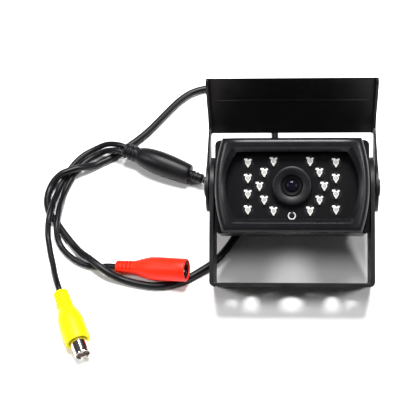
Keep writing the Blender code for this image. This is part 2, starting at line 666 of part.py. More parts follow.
def build_visor(unit):
    """Folded sheet: a creased roof with a shallow rim along each side and an arm down to each pivot."""
    hinge = frame_at("visor_axis", (0, 0, 0), (-VISOR_TILT, 0.0, 0.0), unit)
    inner_half = BRACKET_WIDTH / 2 + 2 * TOUCH + WASHER_THICKNESS
    outer_half = inner_half + VISOR_THICKNESS
    arm = VISOR_ARM / 2
    flank = asin(arm / VISOR_EAR)
    roof, nose = VISOR_HEIGHT, VISOR_HEIGHT - VISOR_NOSE_DROP
    gusset = roof - VISOR_BEND - 1.4
    # Side view, y and z: rear of the roof, crease, nose, rim, arm, ear and back up to the roof.
    side = [
        (-VISOR_REAR, roof),
        (-VISOR_CREASE, roof),
        (-VISOR_FRONT, nose),
        (-VISOR_FRONT + 0.4, nose - VISOR_RIM + 1.4),
        (-VISOR_FRONT + 2.2, nose - VISOR_RIM),
        (-VISOR_CREASE - 3.0, roof - VISOR_RIM),
        (-VISOR_CREASE + 3.5, gusset + 0.4),
        (-arm - 3.6, gusset),
        (-arm - 1.2, gusset - 1.2),
        (-arm, gusset - 4.0),
    ]
    side += arc((0.0, 0.0), VISOR_EAR, pi / 2 + flank, 5 * pi / 2 - flank, 18)
    side += [(arm, 15.0), (arm - 1.5, 19.5), (-VISOR_REAR + 1.8, roof - 4.6), (-VISOR_REAR, roof - 3.0)]
    visor = solid("sun_visor", extrusion(side, -outer_half, outer_half, "X"), "black_paint", hinge)
    round_roof_edges(visor, outer_half, VISOR_BEND)

    top = [
        (VISOR_EAR + 5.0, roof - VISOR_THICKNESS),
        (-VISOR_CREASE, roof - VISOR_THICKNESS),
        (-VISOR_FRONT - 5.0, roof - VISOR_THICKNESS - VISOR_NOSE_DROP * 1.3),
        (-VISOR_FRONT - 5.0, -VISOR_EAR - 5.0),
        (VISOR_EAR + 5.0, -VISOR_EAR - 5.0),
    ]
    inside = solid("visor_inside", extrusion(top, -inner_half, inner_half, "X"), "black_paint", hinge)
    round_roof_edges(inside, inner_half, VISOR_BEND - VISOR_THICKNESS)
    combine(visor, inside, "DIFFERENCE")
    bore = disc(BOLT_RADIUS + TURN_CLEARANCE, -outer_half - 1.0, outer_half + 1.0, 20, "X")
    combine(visor, solid("visor_pivot_holes", bore, "black_paint", hinge), "DIFFERENCE")
    return outer_half


def round_roof_edges(thing, half, radius):
    """Rounds the two folds, which are the edges along the roof at each end of the extrusion."""
    low = (VISOR_HEIGHT - VISOR_THICKNESS - VISOR_NOSE_DROP * 1.3 - 0.05) * MM
    bm = bmesh.new()
    bm.from_mesh(thing.data)
    folds = [
        edge
        for edge in bm.edges
        if all(abs(abs(v.co.x) - half * MM) < 1e-6 and v.co.z > low for v in edge.verts)
    ]
    bmesh.ops.bevel(
        bm, geom=folds, offset=radius * MM, segments=3, profile=0.5, affect="EDGES", clamp_overlap=True
    )
    bm.to_mesh(thing.data)
    bm.free()


def build_pivots(unit, visor_half):
    """A socket-head bolt and a thin washer on each side."""
    for side, label in ((-1, "left"), (1, "right")):
        seat = visor_half + TOUCH
        tip = HEAD_WIDTH / 2 - BOLT_REACH
        profile = [
            (0.0, tip),
            (BOLT_RADIUS - 0.5, tip),
            (BOLT_RADIUS, tip + 0.6),
            (BOLT_RADIUS, seat),
            (BOLT_HEAD_RADIUS, seat),
            (BOLT_HEAD_RADIUS, seat + BOLT_HEAD_HEIGHT * 0.5),
            (BOLT_HEAD_RADIUS - 0.6, seat + BOLT_HEAD_HEIGHT),
            (0.0, seat + BOLT_HEAD_HEIGHT),
        ]
        bolt = solid(
            f"pivot_bolt_{label}", turning([(r, side * x) for r, x in profile], 20, "X"), "black_steel", unit
        )
        ends = sorted((side * (seat - 0.6), side * (seat + BOLT_HEAD_HEIGHT + 1.0)))
        key = extrusion(hexagon(BOLT_KEY), ends[0], ends[1], "X")
        combine(bolt, solid(f"bolt_key_{label}", key, "black_steel", unit), "DIFFERENCE")
        near = BRACKET_WIDTH / 2 + TOUCH
        ends = sorted((side * near, side * (near + WASHER_THICKNESS)))
        washer = ring(BOLT_RADIUS + TURN_CLEARANCE, WASHER_RADIUS, ends[0], ends[1], 24, "X")
        solid(f"pivot_washer_{label}", washer, "nylon", unit)


def ribbed(start, end, radius, depth, ribs, square=0.5):
    """Profile points of a ribbed neck along X: square is the share of each pitch that is rib."""
    pitch = (end - start) / ribs
    points = []
    for i in range(ribs):
        base = start + i * pitch
        points += [
            (radius, base),
            (radius, base + square * pitch),
            (radius - depth, base + (square + 0.1) * pitch),
            (radius - depth, base + 0.92 * pitch),
        ]
    return points


def build_splitter():
    """The black moulded joint where the main cable divides into the two leads."""
    frame = frame_along("splitter_axis", SPLITTER_START, SPLITTER_END)
    length = (SPLITTER_END - SPLITTER_START).length
    body = [(8.2, 4.3), (11.0, 5.2), (15.0, 6.0), (19.5, 6.4), (25.0, 6.3), (31.0, 5.7), (36.0, 5.0), (38.6, 4.4)]
    profile = [(0.0, 0.0)] + ribbed(0.0, 8.0, 4.3, 0.9, 3, 0.55)
    profile += [(radius, along) for along, radius in body]
    profile += [(2.9, 39.2)] + ribbed(39.6, length, 2.9, 0.7, 3)[:-1]
    profile += [(2.2, length), (0.0, length)]
    solid("cable_splitter", turning(profile, 24, "X"), "black_rubber", frame)


def build_video_plug():
    """Yellow moulding with a chrome phono socket: outer barrel, insulator and centre contact."""
    frame = frame_along("video_plug_axis", VIDEO_PLUG_TAIL, VIDEO_PLUG_TIP)
    tip = (VIDEO_PLUG_TIP - VIDEO_PLUG_TAIL).length
    mouth = tip - RCA_REACH
    profile = [(0.0, 0.0)] + ribbed(0.0, 9.5, 3.85, 0.6, 5, 0.5)
    profile += [(4.2, 9.9), (5.2, 12.2), (6.2, 15.2), (6.5, 18.5), (6.5, mouth - 1.0), (5.6, mouth), (0.0, mouth)]
    moulding = solid("video_plug_body", turning(profile, 28, "X"), "yellow_pvc", frame)
    seat = disc(RCA_RADIUS + TOUCH, mouth - RCA_BURIED, mouth + 1.0, 28, "X")
    combine(moulding, solid("video_plug_seat", seat, "yellow_pvc", frame), "DIFFERENCE")
    start = mouth - RCA_BURIED + TOUCH
    barrel = turning(
        [
            (RCA_RADIUS - RCA_WALL, start),
            (RCA_RADIUS, start),
            (RCA_RADIUS, tip - 0.4),
            (RCA_RADIUS - 0.2, tip),
            (RCA_RADIUS - RCA_WALL, tip),
        ],
        28,
        "X",
    )
    solid("rca_barrel", barrel, "chrome", frame)
    insulator = ring(CONTACT_RADIUS + TOUCH, RCA_RADIUS - RCA_WALL - TOUCH, start, tip - 1.0, 24, "X")
    solid("rca_insulator", insulator, "brown_insulator", frame)
    solid("rca_contact", ring(CONTACT_BORE, CONTACT_RADIUS, start, tip - 1.4, 16, "X"), "chrome", frame)


def build_power_plug():
    """Red moulding with a barrel socket: black insulator and a centre pin."""
    frame = frame_along("power_plug_axis", POWER_PLUG_TAIL, POWER_PLUG_TIP)
    tip = (POWER_PLUG_TIP - POWER_PLUG_TAIL).length
    profile = [(0.0, 0.0)] + ribbed(0.0, 9.2, 3.35, 0.6, 4, 0.6)
    profile += [(3.6, 9.8), (4.5, 12.6), (5.4, 15.6), (6.0, 19.0), (6.0, 25.0), (5.8, tip - 0.8), (5.3, tip), (0.0, tip)]
    moulding = solid("power_plug_body", turning(profile, 28, "X"), "red_pvc", frame)
    seat = disc(DC_RADIUS + TOUCH, tip - DC_DEPTH, tip + 1.0, 28, "X")
    combine(moulding, solid("power_plug_seat", seat, "red_pvc", frame), "DIFFERENCE")
    start = tip - DC_DEPTH + TOUCH
    solid("dc_insulator", ring(DC_BORE, DC_RADIUS, start, tip - 0.5, 24, "X"), "black_rubber", frame)
    pin = turning(
        [(0.0, start), (DC_PIN_RADIUS, start), (DC_PIN_RADIUS, tip - 1.6), (0.5, tip - 1.0), (0.0, tip - 1.0)],
        14,
        "X",
    )
    solid("dc_pin", pin, "chrome", frame)


# The routes give a cord's middle line over the table and how far its underside is lifted off it.
# The main cable after the gland's own bend, as it is laid: a loop under the head, out past the left leg,
# under the power plug, round the two leads, under the splitter, up behind the visor and back to the splitter.
MAIN_ROUTE = [
    (1.5, 35.6, 0.0), (5.1, 40.6, 0.0), (10.3, 43.9, 0.0), (16.4, 45.0, 0.0), (22.5, 43.7, 0.0),
    (27.7, 40.2, 0.0), (31.1, 35.0, 0.0), (32.2, 28.8, 0.0), (31.0, 22.6, 0.0), (27.6, 17.2, 0.0),
    (22.2, 12.8, 0.0), (15.0, 9.2, 0.0), (6.0, 6.2, 0.0), (-3.5, 4.1, 0.0), (-12.5, 2.3, 0.0), (-20.5, 0.1, 0.0), (-27.2, -4.6, 0.0),
    (-31.6, -11.4, 0.0), (-35.8, -18.0, 0.0), (-40.8, -23.6, 0.0), (-47.0, -28.3, 0.0), (-53.0, -32.2, 0.0),
    (-59.0, -34.9, 0.0), (-65.0, -36.5, 0.0), (-71.5, -36.6, 0.0), (-79.5, -35.2, 0.0), (-86.5, -33.3, 0.6),
    (-93.0, -31.0, 2.7), (-98.5, -27.4, 4.1), (-103.5, -23.2, 3.8), (-108.0, -19.0, 2.0), (-111.5, -15.0, 0.3),
    (-115.0, -10.8, 0.0), (-118.5, -6.3, 0.0), (-122.0, -1.5, 0.0), (-125.5, 3.0, 0.0), (-128.3, 7.8, 0.0),
    (-130.0, 13.0, 0.0), (-130.3, 18.0, 0.0), (-129.3, 22.8, 0.5), (-127.0, 26.6, 2.1), (-123.3, 29.6, 3.8),
    (-119.0, 31.6, 4.0), (-114.5, 33.4, 3.8), (-110.3, 35.3, 2.1), (-106.5, 37.5, 0.3), (-102.3, 40.0, 0.0),
    (-99.1, 41.9, 0.0), (-95.0, 45.3, 0.0), (-91.5, 48.2, 0.0), (-87.3, 51.8, 0.0), (-83.4, 55.4, 0.0),
    (-78.7, 60.5, 0.0), (-73.9, 66.7, 0.0), (-69.2, 73.0, 0.0), (-64.3, 79.3, 0.0), (-59.4, 84.4, 0.0),
    (-54.5, 87.6, 0.0), (-48.3, 89.5, 0.0), (-39.0, 89.6, 0.0), (-30.0, 87.0, 0.0), (-21.5, 81.5, 0.0),
    (-14.6, 74.0, 0.0), (-10.6, 65.6, 0.0), (-9.2, 57.0, 0.0), (-10.0, 48.6, 0.0), (-12.8, 40.6, 0.0),
    (-17.2, 33.4, 0.0), (-23.2, 27.6, 0.0), (-29.8, 24.4, 0.6), (-36.0, 23.2, 2.0),
]

VIDEO_ROUTE = [
    (-97.0, 48.1, 5.6), (-101.5, 49.3, 3.2), (-107.0, 48.5, 0.5), (-112.1, 45.6, 0.0), (-115.9, 41.8, 0.0),
    (-118.4, 38.2, 0.0), (-120.5, 34.3, 0.0), (-122.2, 30.1, 0.0), (-123.7, 25.8, 0.0), (-125.1, 21.4, 0.0),
    (-125.9, 17.1, 0.9), (-126.3, 12.8, 2.9), (-126.6, 8.4, 4.2), (-127.0, 4.1, 4.5), (-127.4, 0.4, 4.2),
    (-127.7, -3.2, 2.3), (-127.5, -7.4, 0.4), (-126.4, -12.4, 0.0), (-125.0, -17.9, 0.0), (-122.9, -25.0, 0.5),
    (-120.9, -32.0, 2.4),
]

POWER_ROUTE = [
    (-97.2, 44.1, 5.5), (-101.0, 45.1, 3.2), (-105.6, 44.3, 0.6), (-109.9, 42.0, 0.0), (-113.4, 38.6, 0.0),
    (-116.0, 34.7, 0.0), (-117.9, 30.6, 0.0), (-119.4, 26.8, 0.0), (-120.7, 23.0, 0.0), (-121.7, 19.0, 0.2),
    (-122.2, 14.2, 1.7), (-122.5, 8.7, 3.8), (-122.6, 4.0, 4.3), (-122.7, -1.0, 4.5), (-122.7, -5.2, 3.8),
    (-122.0, -9.0, 1.6), (-119.9, -13.4, 0.0), (-116.6, -17.4, 0.0), (-113.0, -20.6, 0.0), (-109.3, -23.0, 0.0),
    (-105.7, -24.5, 0.0), (-102.8, -25.1, 0.0), (-99.6, -25.4, 0.1),
]


def smooth_line(points, spacing):
    """Points on a Catmull-Rom curve through the given ones, evenly spaced but for a short step at each end."""
    nodes = [Vector(p) for p in points]
    nodes = [2 * nodes[0] - nodes[1]] + nodes + [2 * nodes[-1] - nodes[-2]]
    fine = []
    steps = 24
    for a, b, c, d in zip(nodes, nodes[1:], nodes[2:], nodes[3:]):
        for i in range(steps):
            t = i / steps
            bend = (2 * a - 5 * b + 4 * c - d) * t**2 + (3 * b - a - 3 * c + d) * t**3
            fine.append(0.5 * (2 * b + (c - a) * t + bend))
    fine.append(nodes[-2])
    lengths = [0.0]
    for here, there in zip(fine, fine[1:]):
        lengths.append(lengths[-1] + (there - here).length)
    count = max(2, round(lengths[-1] / spacing))
    shares = [0.0, 0.3] + list(range(1, count)) + [count - 0.3, count]
    line, index = [], 0
    for share in shares:
        target = lengths[-1] * share / count
        while index < len(fine) - 2 and lengths[index + 1] < target:
            index += 1
        part = (target - lengths[index]) / max(lengths[index + 1] - lengths[index], 1e-9)
        line.append(fine[index].lerp(fine[index + 1], min(max(part, 0.0), 1.0)))
    return line


def build_cord(name, route, diameter):
    """A plain round tube along the route, which is in the table frame."""
    curve = bpy.data.curves.new(name, "CURVE")
    curve.dimensions = "3D"
    curve.fill_mode = "FULL"
    curve.use_fill_caps = True
    curve.bevel_depth = diameter / 2 * MM
    curve.bevel_resolution = 2
    line = smooth_line(route, CORD_SPACING * diameter)
    spline = curve.splines.new("POLY")
    spline.points.add(len(line) - 1)
    for point, place in zip(spline.points, line):
        height = max(place.z, diameter / 2)
        point.co = (place.x * MM, (place.y + PIVOT_Y) * MM, height * MM, 1.0)
    curve.materials.append(finish("black_cable"))
    cord = bpy.data.objects.new(name, curve)
    bpy.context.scene.collection.objects.link(cord)


def laid(route, diameter):
    """The middle line of a cord from its route."""
    return [Vector((x, y, lift + diameter / 2)) for x, y, lift in route]


def in_table_frame(forward, up=0.0):
    """A point of the unit's middle plane, in the table frame."""
    height = PIVOT_HEIGHT + forward * sin(LENS_ELEVATION) + up * cos(LENS_ELEVATION)
    return Vector((0.0, on_table(forward, up), height))


def build_cords(exit_forward):
    """The main cable from the boot to the splitter, and the two leads from the splitter to their plugs."""
    out = Vector((0.0, cos(LENS_ELEVATION), -sin(LENS_ELEVATION)))
    start = in_table_frame(exit_forward) + CORD_GAP * out
    floor = MAIN_DIAMETER / 2
    main_route = laid(MAIN_ROUTE, MAIN_DIAMETER)
    radius = (start.z - floor) / (1 - cos(LENS_ELEVATION))
    turns = [LENS_ELEVATION * (1 - i / 4) for i in range(5)]
    bend = [
        Vector((0.0, start.y + radius * (sin(LENS_ELEVATION) - sin(a)), floor + radius * (1 - cos(a))))
        for a in turns
    ]
    along = (SPLITTER_END - SPLITTER_START).normalized()
    across = along.cross(Vector((0.0, 0.0, 1.0))).normalized()
    into = [SPLITTER_END + along * 5.0, SPLITTER_END + along * CORD_GAP]
    build_cord("main_cable", bend + main_route + into, MAIN_DIAMETER)

    for name, route, side, tail, tip in (
        ("video_lead", VIDEO_ROUTE, -1, VIDEO_PLUG_TAIL, VIDEO_PLUG_TIP),
        ("power_lead", POWER_ROUTE, 1, POWER_PLUG_TAIL, POWER_PLUG_TIP),
    ):
        beside = SPLITTER_START + across * (side * LEAD_OFFSET)
        plug = (tip - tail).normalized()
        first = [beside - along * CORD_GAP, beside - along * 4.0]
        last = [tail - plug * 5.0, tail - plug * CORD_GAP]
        build_cord(name, first + laid(route, LEAD_DIAMETER) + last, LEAD_DIAMETER)


def main():
    clear_scene()
    unit = frame_at("camera_tilt", (0.0, PIVOT_Y, PIVOT_HEIGHT), (-LENS_ELEVATION, 0.0, 0.0))
    build_bezel(unit)
    build_window(unit)
    build_optics(unit)
    build_leds(unit)
    build_shell(unit)
    build_rear(unit)
    exit_forward = build_gland(unit)
    build_bracket(unit)
    visor_half = build_visor(unit)
    build_pivots(unit, visor_half)
    build_splitter()
    build_video_plug()
    build_power_plug()
    build_cords(exit_forward)


main()
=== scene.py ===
"""Looks of the backup camera kit: cords, connectors, infrared lamps, lens, bezel, finishes and studio.

Profiles, routes and the sizes of pieces are in millimetres, and MM turns them into metres. Lights, the
camera and the table are in metres. The head frame has its origin on the pivot axis, +X to the right, -Y the
way the lens looks and +Z up through the top of the head. The table frame has its origin on the table below
the pivot axis.
"""

import json
import logging
from collections.abc import Callable
from dataclasses import dataclass, field
from enum import Enum
from math import asin, atan2, cos, pi, radians, sin, tau

import bpy
from mathutils import Matrix, Vector


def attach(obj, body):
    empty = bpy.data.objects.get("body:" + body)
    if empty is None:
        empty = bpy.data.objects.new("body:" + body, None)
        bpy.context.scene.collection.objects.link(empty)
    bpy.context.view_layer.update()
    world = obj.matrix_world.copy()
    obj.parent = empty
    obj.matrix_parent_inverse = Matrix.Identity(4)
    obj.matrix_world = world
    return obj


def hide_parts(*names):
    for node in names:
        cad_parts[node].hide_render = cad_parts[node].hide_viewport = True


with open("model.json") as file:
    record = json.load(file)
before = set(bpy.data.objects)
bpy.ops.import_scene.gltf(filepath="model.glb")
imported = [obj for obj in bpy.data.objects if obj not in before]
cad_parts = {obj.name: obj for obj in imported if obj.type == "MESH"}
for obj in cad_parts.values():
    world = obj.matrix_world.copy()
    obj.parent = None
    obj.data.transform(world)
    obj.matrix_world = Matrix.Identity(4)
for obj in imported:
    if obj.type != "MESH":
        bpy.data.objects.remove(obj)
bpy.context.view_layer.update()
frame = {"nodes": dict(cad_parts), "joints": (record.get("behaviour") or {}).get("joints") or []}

LOG = logging.getLogger("backup_camera_kit")

Point = tuple[float, float, float]
Colour = tuple[float, float, float]
Profile = list[tuple[float, float]]

MM = 0.001
LENS_ELEVATION = radians(61.0)
HEAD_DROP = 0.6 * MM
PIVOT = Vector(frame["joints"][0]["pos_m"])
HEAD_FRAME = Matrix.Translation(PIVOT) @ Matrix.Rotation(-LENS_ELEVATION, 4, "X")
TABLE_FRAME = Matrix.Translation((0.0, PIVOT.y, 0.0))

NOISE_LOW = 0.3
NOISE_HIGH = 0.7
FINE_DETAIL = 4.0
BROAD_DETAIL = 3.0
BROAD_SCALE = 0.06
FINE_SHARE = 0.45
TRACE_GAIN = 2.4
EVEN_STRETCH = (1.0, 1.0, 1.0)
BRUSHED_STRETCH = (1.0, 1.0, 0.08)


class Body(Enum):
    """Bodies of the CAD model that new pieces ride on."""

    HEAD = "head"
    VISOR = "visor"


class Texture(Enum):
    """How a finish is broken up over its surface."""

    EVEN = "even"
    BRUSHED = "brushed"
    LAMINATE = "laminate"


class Graph:
    """A material's node tree, with short ways to add and link nodes."""

    def __init__(self, name: str) -> None:
        """Makes a new material with an empty Principled shader.

        Args:
            name: the material's name.
        """
        self.material: bpy.types.Material = bpy.data.materials.new(name)
        self.material.use_nodes = True
        self.nodes: bpy.types.Nodes = self.material.node_tree.nodes
        self.links: bpy.types.NodeLinks = self.material.node_tree.links
        self.shader: bpy.types.Node = self.nodes["Principled BSDF"]

    def set(self, socket: str, value: float | tuple[float, ...]) -> None:
        """Sets a constant on the shader's own socket."""
        self.shader.inputs[socket].default_value = value

    def add(self, kind: str, **values: object) -> bpy.types.Node:
        """Adds a node.

        Args:
            kind: the node's type name.
            values: attributes of the node, or its inputs by name with _ for a space.

        Returns:
            The new node.
        """
        node = self.nodes.new(kind)
        for key, value in values.items():
            title = key.replace("_", " ")
            if title in node.inputs:
                node.inputs[title].default_value = value
            else:
                setattr(node, key, value)
        return node

    def link(self, source: bpy.types.NodeSocket, target: bpy.types.NodeSocket) -> None:
        """Joins an output to an input."""
        self.links.new(source, target)

    def coordinates(self, stretch: Point) -> bpy.types.NodeSocket:
        """Object coordinates, stretched.

        Args:
            stretch: scale of the pattern along each axis.

        Returns:
            The vector output to read patterns from.
        """
        place = self.add("ShaderNodeTexCoord")
        mapping = self.add("ShaderNodeMapping", Scale=stretch)
        self.link(place.outputs["Object"], mapping.inputs["Vector"])
        return mapping.outputs["Vector"]

    def noise(self, where: bpy.types.NodeSocket, scale: float, detail: float) -> bpy.types.NodeSocket:
        """A noise value.

        Args:
            where: the coordinates that it reads.
            scale: cells per metre.
            detail: octaves.

        Returns:
            The noise's factor output.
        """
        node = self.add("ShaderNodeTexNoise", Scale=scale, Detail=detail, Roughness=0.55)
        self.link(where, node.inputs["Vector"])
        return node.outputs["Fac"]

    def spread(self, source: bpy.types.NodeSocket, low: float, high: float) -> bpy.types.NodeSocket:
        """Maps a noise value on to a range.

        Args:
            source: the value, mostly from NOISE_LOW to NOISE_HIGH.
            low: result at NOISE_LOW.
            high: result at NOISE_HIGH.

        Returns:
            The mapped value.
        """
        node = self.add("ShaderNodeMapRange", clamp=True)
        node.inputs["From Min"].default_value = NOISE_LOW
        node.inputs["From Max"].default_value = NOISE_HIGH
        node.inputs["To Min"].default_value = low
        node.inputs["To Max"].default_value = high
        self.link(source, node.inputs["Value"])
        return node.outputs["Result"]

    def blend(self, factor: bpy.types.NodeSocket, first: Colour, second: Colour) -> bpy.types.NodeSocket:
        """Two colours mixed by a value.

        Args:
            factor: the value, mostly from NOISE_LOW to NOISE_HIGH.
            first: colour at the low end.
            second: colour at the high end.

        Returns:
            The ramp's colour output.
        """
        ramp = self.add("ShaderNodeValToRGB")
        ramp.color_ramp.elements[0].position = NOISE_LOW
        ramp.color_ramp.elements[0].color = (*first, 1.0)
        ramp.color_ramp.elements[1].position = NOISE_HIGH
        ramp.color_ramp.elements[1].color = (*second, 1.0)
        self.link(factor, ramp.inputs["Fac"])
        return ramp.outputs["Color"]

    def bump(self, height: bpy.types.NodeSocket, depth: float, strength: float = 0.6) -> None:
        """Relief on the shader's normal.

        Args:
            height: the height value.
            depth: metres between its low and high places.
            strength: how much of it shows.
        """
        node = self.add("ShaderNodeBump", Strength=strength, Distance=depth)
        self.link(height, node.inputs["Height"])
        self.link(node.outputs["Normal"], self.shader.inputs["Normal"])


@dataclass(frozen=True)
class Finish:
    """A surface: two close colours, a range of roughness, a fine relief, and a painted glow where
    painted_glow is set.
    """

    name: str
    colour: Colour
    fleck: Colour
    rough_low: float
    rough_high: float
    texture: Texture = Texture.EVEN
    metallic: float = 0.0
    grain: float = 1500.0
    depth: float = 0.00003
    alpha: float = 1.0
    specular: float = 0.5
    # painted light: emission that makes the surface shine by itself though it is no lamp
    painted_glow: float = 0.0

    def material(self) -> bpy.types.Material:
        """The material, made once and kept.

        Returns:
            The material of this finish.
        """
        if self.name in bpy.data.materials:
            return bpy.data.materials[self.name]
        graph = Graph(self.name)
        graph.set("Metallic", self.metallic)
        graph.set("Specular IOR Level", self.specular)
        # Emission here is painted light, a painted glow in the fleck colour at the painted_glow strength.
        graph.set("Emission Color", (*self.fleck, 1.0))
        graph.set("Emission Strength", self.painted_glow)
        stretch = BRUSHED_STRETCH if self.texture is Texture.BRUSHED else EVEN_STRETCH
        where = graph.coordinates(stretch)
        fine = graph.noise(where, self.grain, FINE_DETAIL)
        broad = graph.noise(where, self.grain * BROAD_SCALE, BROAD_DETAIL)
        if self.texture is Texture.LAMINATE:
            graph.link(self.traces(graph, where), graph.shader.inputs["Base Color"])
        else:
            mottle = graph.add("ShaderNodeMath", operation="MULTIPLY_ADD")
            graph.link(fine, mottle.inputs[0])
            mottle.inputs[1].default_value = FINE_SHARE
            tail = graph.add("ShaderNodeMath", operation="MULTIPLY")
            graph.link(broad, tail.inputs[0])
            tail.inputs[1].default_value = 1.0 - FINE_SHARE
            graph.link(tail.outputs[0], mottle.inputs[2])
            colour = graph.blend(mottle.outputs[0], self.colour, self.fleck)
            graph.link(colour, graph.shader.inputs["Base Color"])
        rough = graph.spread(broad, self.rough_low, self.rough_high)
        graph.link(rough, graph.shader.inputs["Roughness"])
        graph.bump(fine, self.depth)
        if self.alpha < 1.0:
            graph.set("Alpha", self.alpha)
            graph.material.surface_render_method = "BLENDED"
        graph.material.diffuse_color = (*self.colour, self.alpha)
        return graph.material

    def traces(self, graph: Graph, where: bpy.types.NodeSocket) -> bpy.types.NodeSocket:
        """Copper runs under solder mask, as a brick pattern.

        Args:
            graph: the node tree.
            where: the coordinates.

        Returns:
            The colour output.
        """
        brick = graph.add("ShaderNodeTexBrick", Scale=420.0, Mortar_Size=0.06, Bias=0.0)
        brick.inputs["Color1"].default_value = (*self.colour, 1.0)
        brick.inputs["Color2"].default_value = (*self.fleck, 1.0)
        brick.inputs["Mortar"].default_value = (*(c * TRACE_GAIN for c in self.fleck), 1.0)
        graph.link(where, brick.inputs["Vector"])
        return brick.outputs["Color"]


HOUSING = Finish(
    "housing_black",
    colour=(0.0038, 0.0038, 0.0050),
    fleck=(0.0058, 0.0058, 0.0074),
    rough_low=0.26,
    rough_high=0.33,
    grain=2600,
    depth=0.000006,
    specular=0.20,
)
PAINT = Finish(
    "bracket_black_paint",
    colour=(0.0030, 0.0030, 0.0035),
    fleck=(0.0050, 0.0050, 0.0060),
    rough_low=0.40,
    rough_high=0.52,
    grain=1800,
    depth=0.00002,
    specular=0.24,
)
BLACK_PVC = Finish(
    "cable_black_pvc",
    colour=(0.0035, 0.0035, 0.0045),
    fleck=(0.0058, 0.0058, 0.0072),
    rough_low=0.30,
    rough_high=0.42,
    grain=1300,
    depth=0.00002,
    specular=0.17,
)
BLACK_MOULDING = Finish(
    "moulded_black_pvc",
    colour=(0.0035, 0.0035, 0.0042),
    fleck=(0.0058, 0.0058, 0.0070),
    rough_low=0.34,
    rough_high=0.46,
    grain=1100,
    depth=0.00003,
    specular=0.18,
)
SEAL_RUBBER = Finish(
    "seal_rubber",
    colour=(0.005, 0.005, 0.005),
    fleck=(0.009, 0.009, 0.009),
    rough_low=0.55,
    rough_high=0.7,
    grain=2500,
    specular=0.3,
)
YELLOW_PVC = Finish(
    "moulded_yellow_pvc",
    colour=(0.90, 0.74, 0.001),
    fleck=(0.94, 0.79, 0.002),
    rough_low=0.36,
    rough_high=0.48,
    grain=900,
    depth=0.00003,
    specular=0.16,
)
RED_PVC = Finish(
    "moulded_red_pvc",
    colour=(0.80, 0.016, 0.004),
    fleck=(0.86, 0.022, 0.006),
    rough_low=0.36,
    rough_high=0.48,
    grain=900,
    depth=0.00003,
    specular=0.18,
)
NICKEL = Finish(
    "nickel_plate",
    colour=(0.62, 0.60, 0.57),
    fleck=(0.72, 0.70, 0.67),
    rough_low=0.10,
    rough_high=0.20,
    metallic=1.0,
    grain=900,
    depth=0.00001,
)
# Silver finish with a painted glow: painted light that makes the lamp lead frames and the light sensor's
# cup shine by themselves, so they read bright behind the smoked pane.
SILVER_PAINTED_GLOW = Finish(
    "silvered_lead_frame_painted_glow",
    colour=(0.78, 0.78, 0.78),
    fleck=(0.86, 0.85, 0.83),
    rough_low=0.35,
    rough_high=0.5,
    metallic=0.1,
    grain=3000,
    depth=0.00001,
    painted_glow=0.14,
)
ZINC = Finish(
    "zinc_plate",
    colour=(0.45, 0.45, 0.46),
    fleck=(0.58, 0.58, 0.58),
    rough_low=0.28,
    rough_high=0.42,
    texture=Texture.BRUSHED,
    metallic=1.0,
    grain=1600,
)
BLACK_OXIDE = Finish(
    "black_oxide",
    colour=(0.020, 0.020, 0.022),
    fleck=(0.032, 0.032, 0.034),
    rough_low=0.30,
    rough_high=0.42,
    texture=Texture.BRUSHED,
    metallic=0.6,
)
NYLON = Finish(
    "black_nylon",
    colour=(0.012, 0.012, 0.012),
    fleck=(0.020, 0.020, 0.020),
    rough_low=0.45,
    rough_high=0.6,
)
BOARD_BLACK = Finish(
    "led_board_mask",
    colour=(0.0015, 0.0015, 0.0020),
    fleck=(0.0025, 0.0025, 0.0030),
    rough_low=0.5,
    rough_high=0.6,
    grain=700,
    depth=0.000003,
    specular=0.12,
)
BOARD_GREEN = Finish(
    "main_board_mask",
    colour=(0.010, 0.070, 0.025),
    fleck=(0.015, 0.090, 0.035),
    rough_low=0.3,
    rough_high=0.45,
    texture=Texture.LAMINATE,
)
PANE = Finish(
    "smoked_pane",
    colour=(0.002, 0.002, 0.003),
    fleck=(0.003, 0.003, 0.005),
    rough_low=0.06,
    rough_high=0.10,
    grain=60,
    depth=0.000002,
    alpha=0.10,
    specular=0.25,
)
RESIN = Finish(
    "clear_resin",
    colour=(0.30, 0.30, 0.32),
    fleck=(0.36, 0.36, 0.38),
    rough_low=0.05,
    rough_high=0.10,
    grain=400,
    depth=0.000002,
    alpha=0.03,
    specular=0.3,
)
OPTIC_BLACK = Finish(
    "optic_black",
    colour=(0.003, 0.003, 0.004),
    fleck=(0.005, 0.005, 0.006),
    rough_low=0.36,
    rough_high=0.44,
    grain=2600,
    depth=0.000005,
    specular=0.3,
)
LENS_COAT = Finish(
    "coated_lens",
    colour=(0.003, 0.003, 0.006),
    fleck=(0.006, 0.005, 0.012),
    rough_low=0.10,
    rough_high=0.14,
    grain=60,
    depth=0.000002,
    specular=0.14,
)
INSULATOR = Finish(
    "brown_insulator",
    colour=(0.085, 0.036, 0.018),
    fleck=(0.120, 0.055, 0.028),
    rough_low=0.4,
    rough_high=0.55,
)
DIE = Finish(
    "lamp_die",
    colour=(0.16, 0.13, 0.11),
    fleck=(0.26, 0.22, 0.19),
    rough_low=0.3,
    rough_high=0.4,
    grain=5000,
    depth=0.00001,
)
TABLE_TOP = Finish(
    "table_top",
    colour=(0.93, 0.93, 0.93),
    fleck=(0.95, 0.95, 0.95),
    rough_low=0.6,
    rough_high=0.7,
    grain=40,
    depth=0.00001,
    specular=0.2,
)


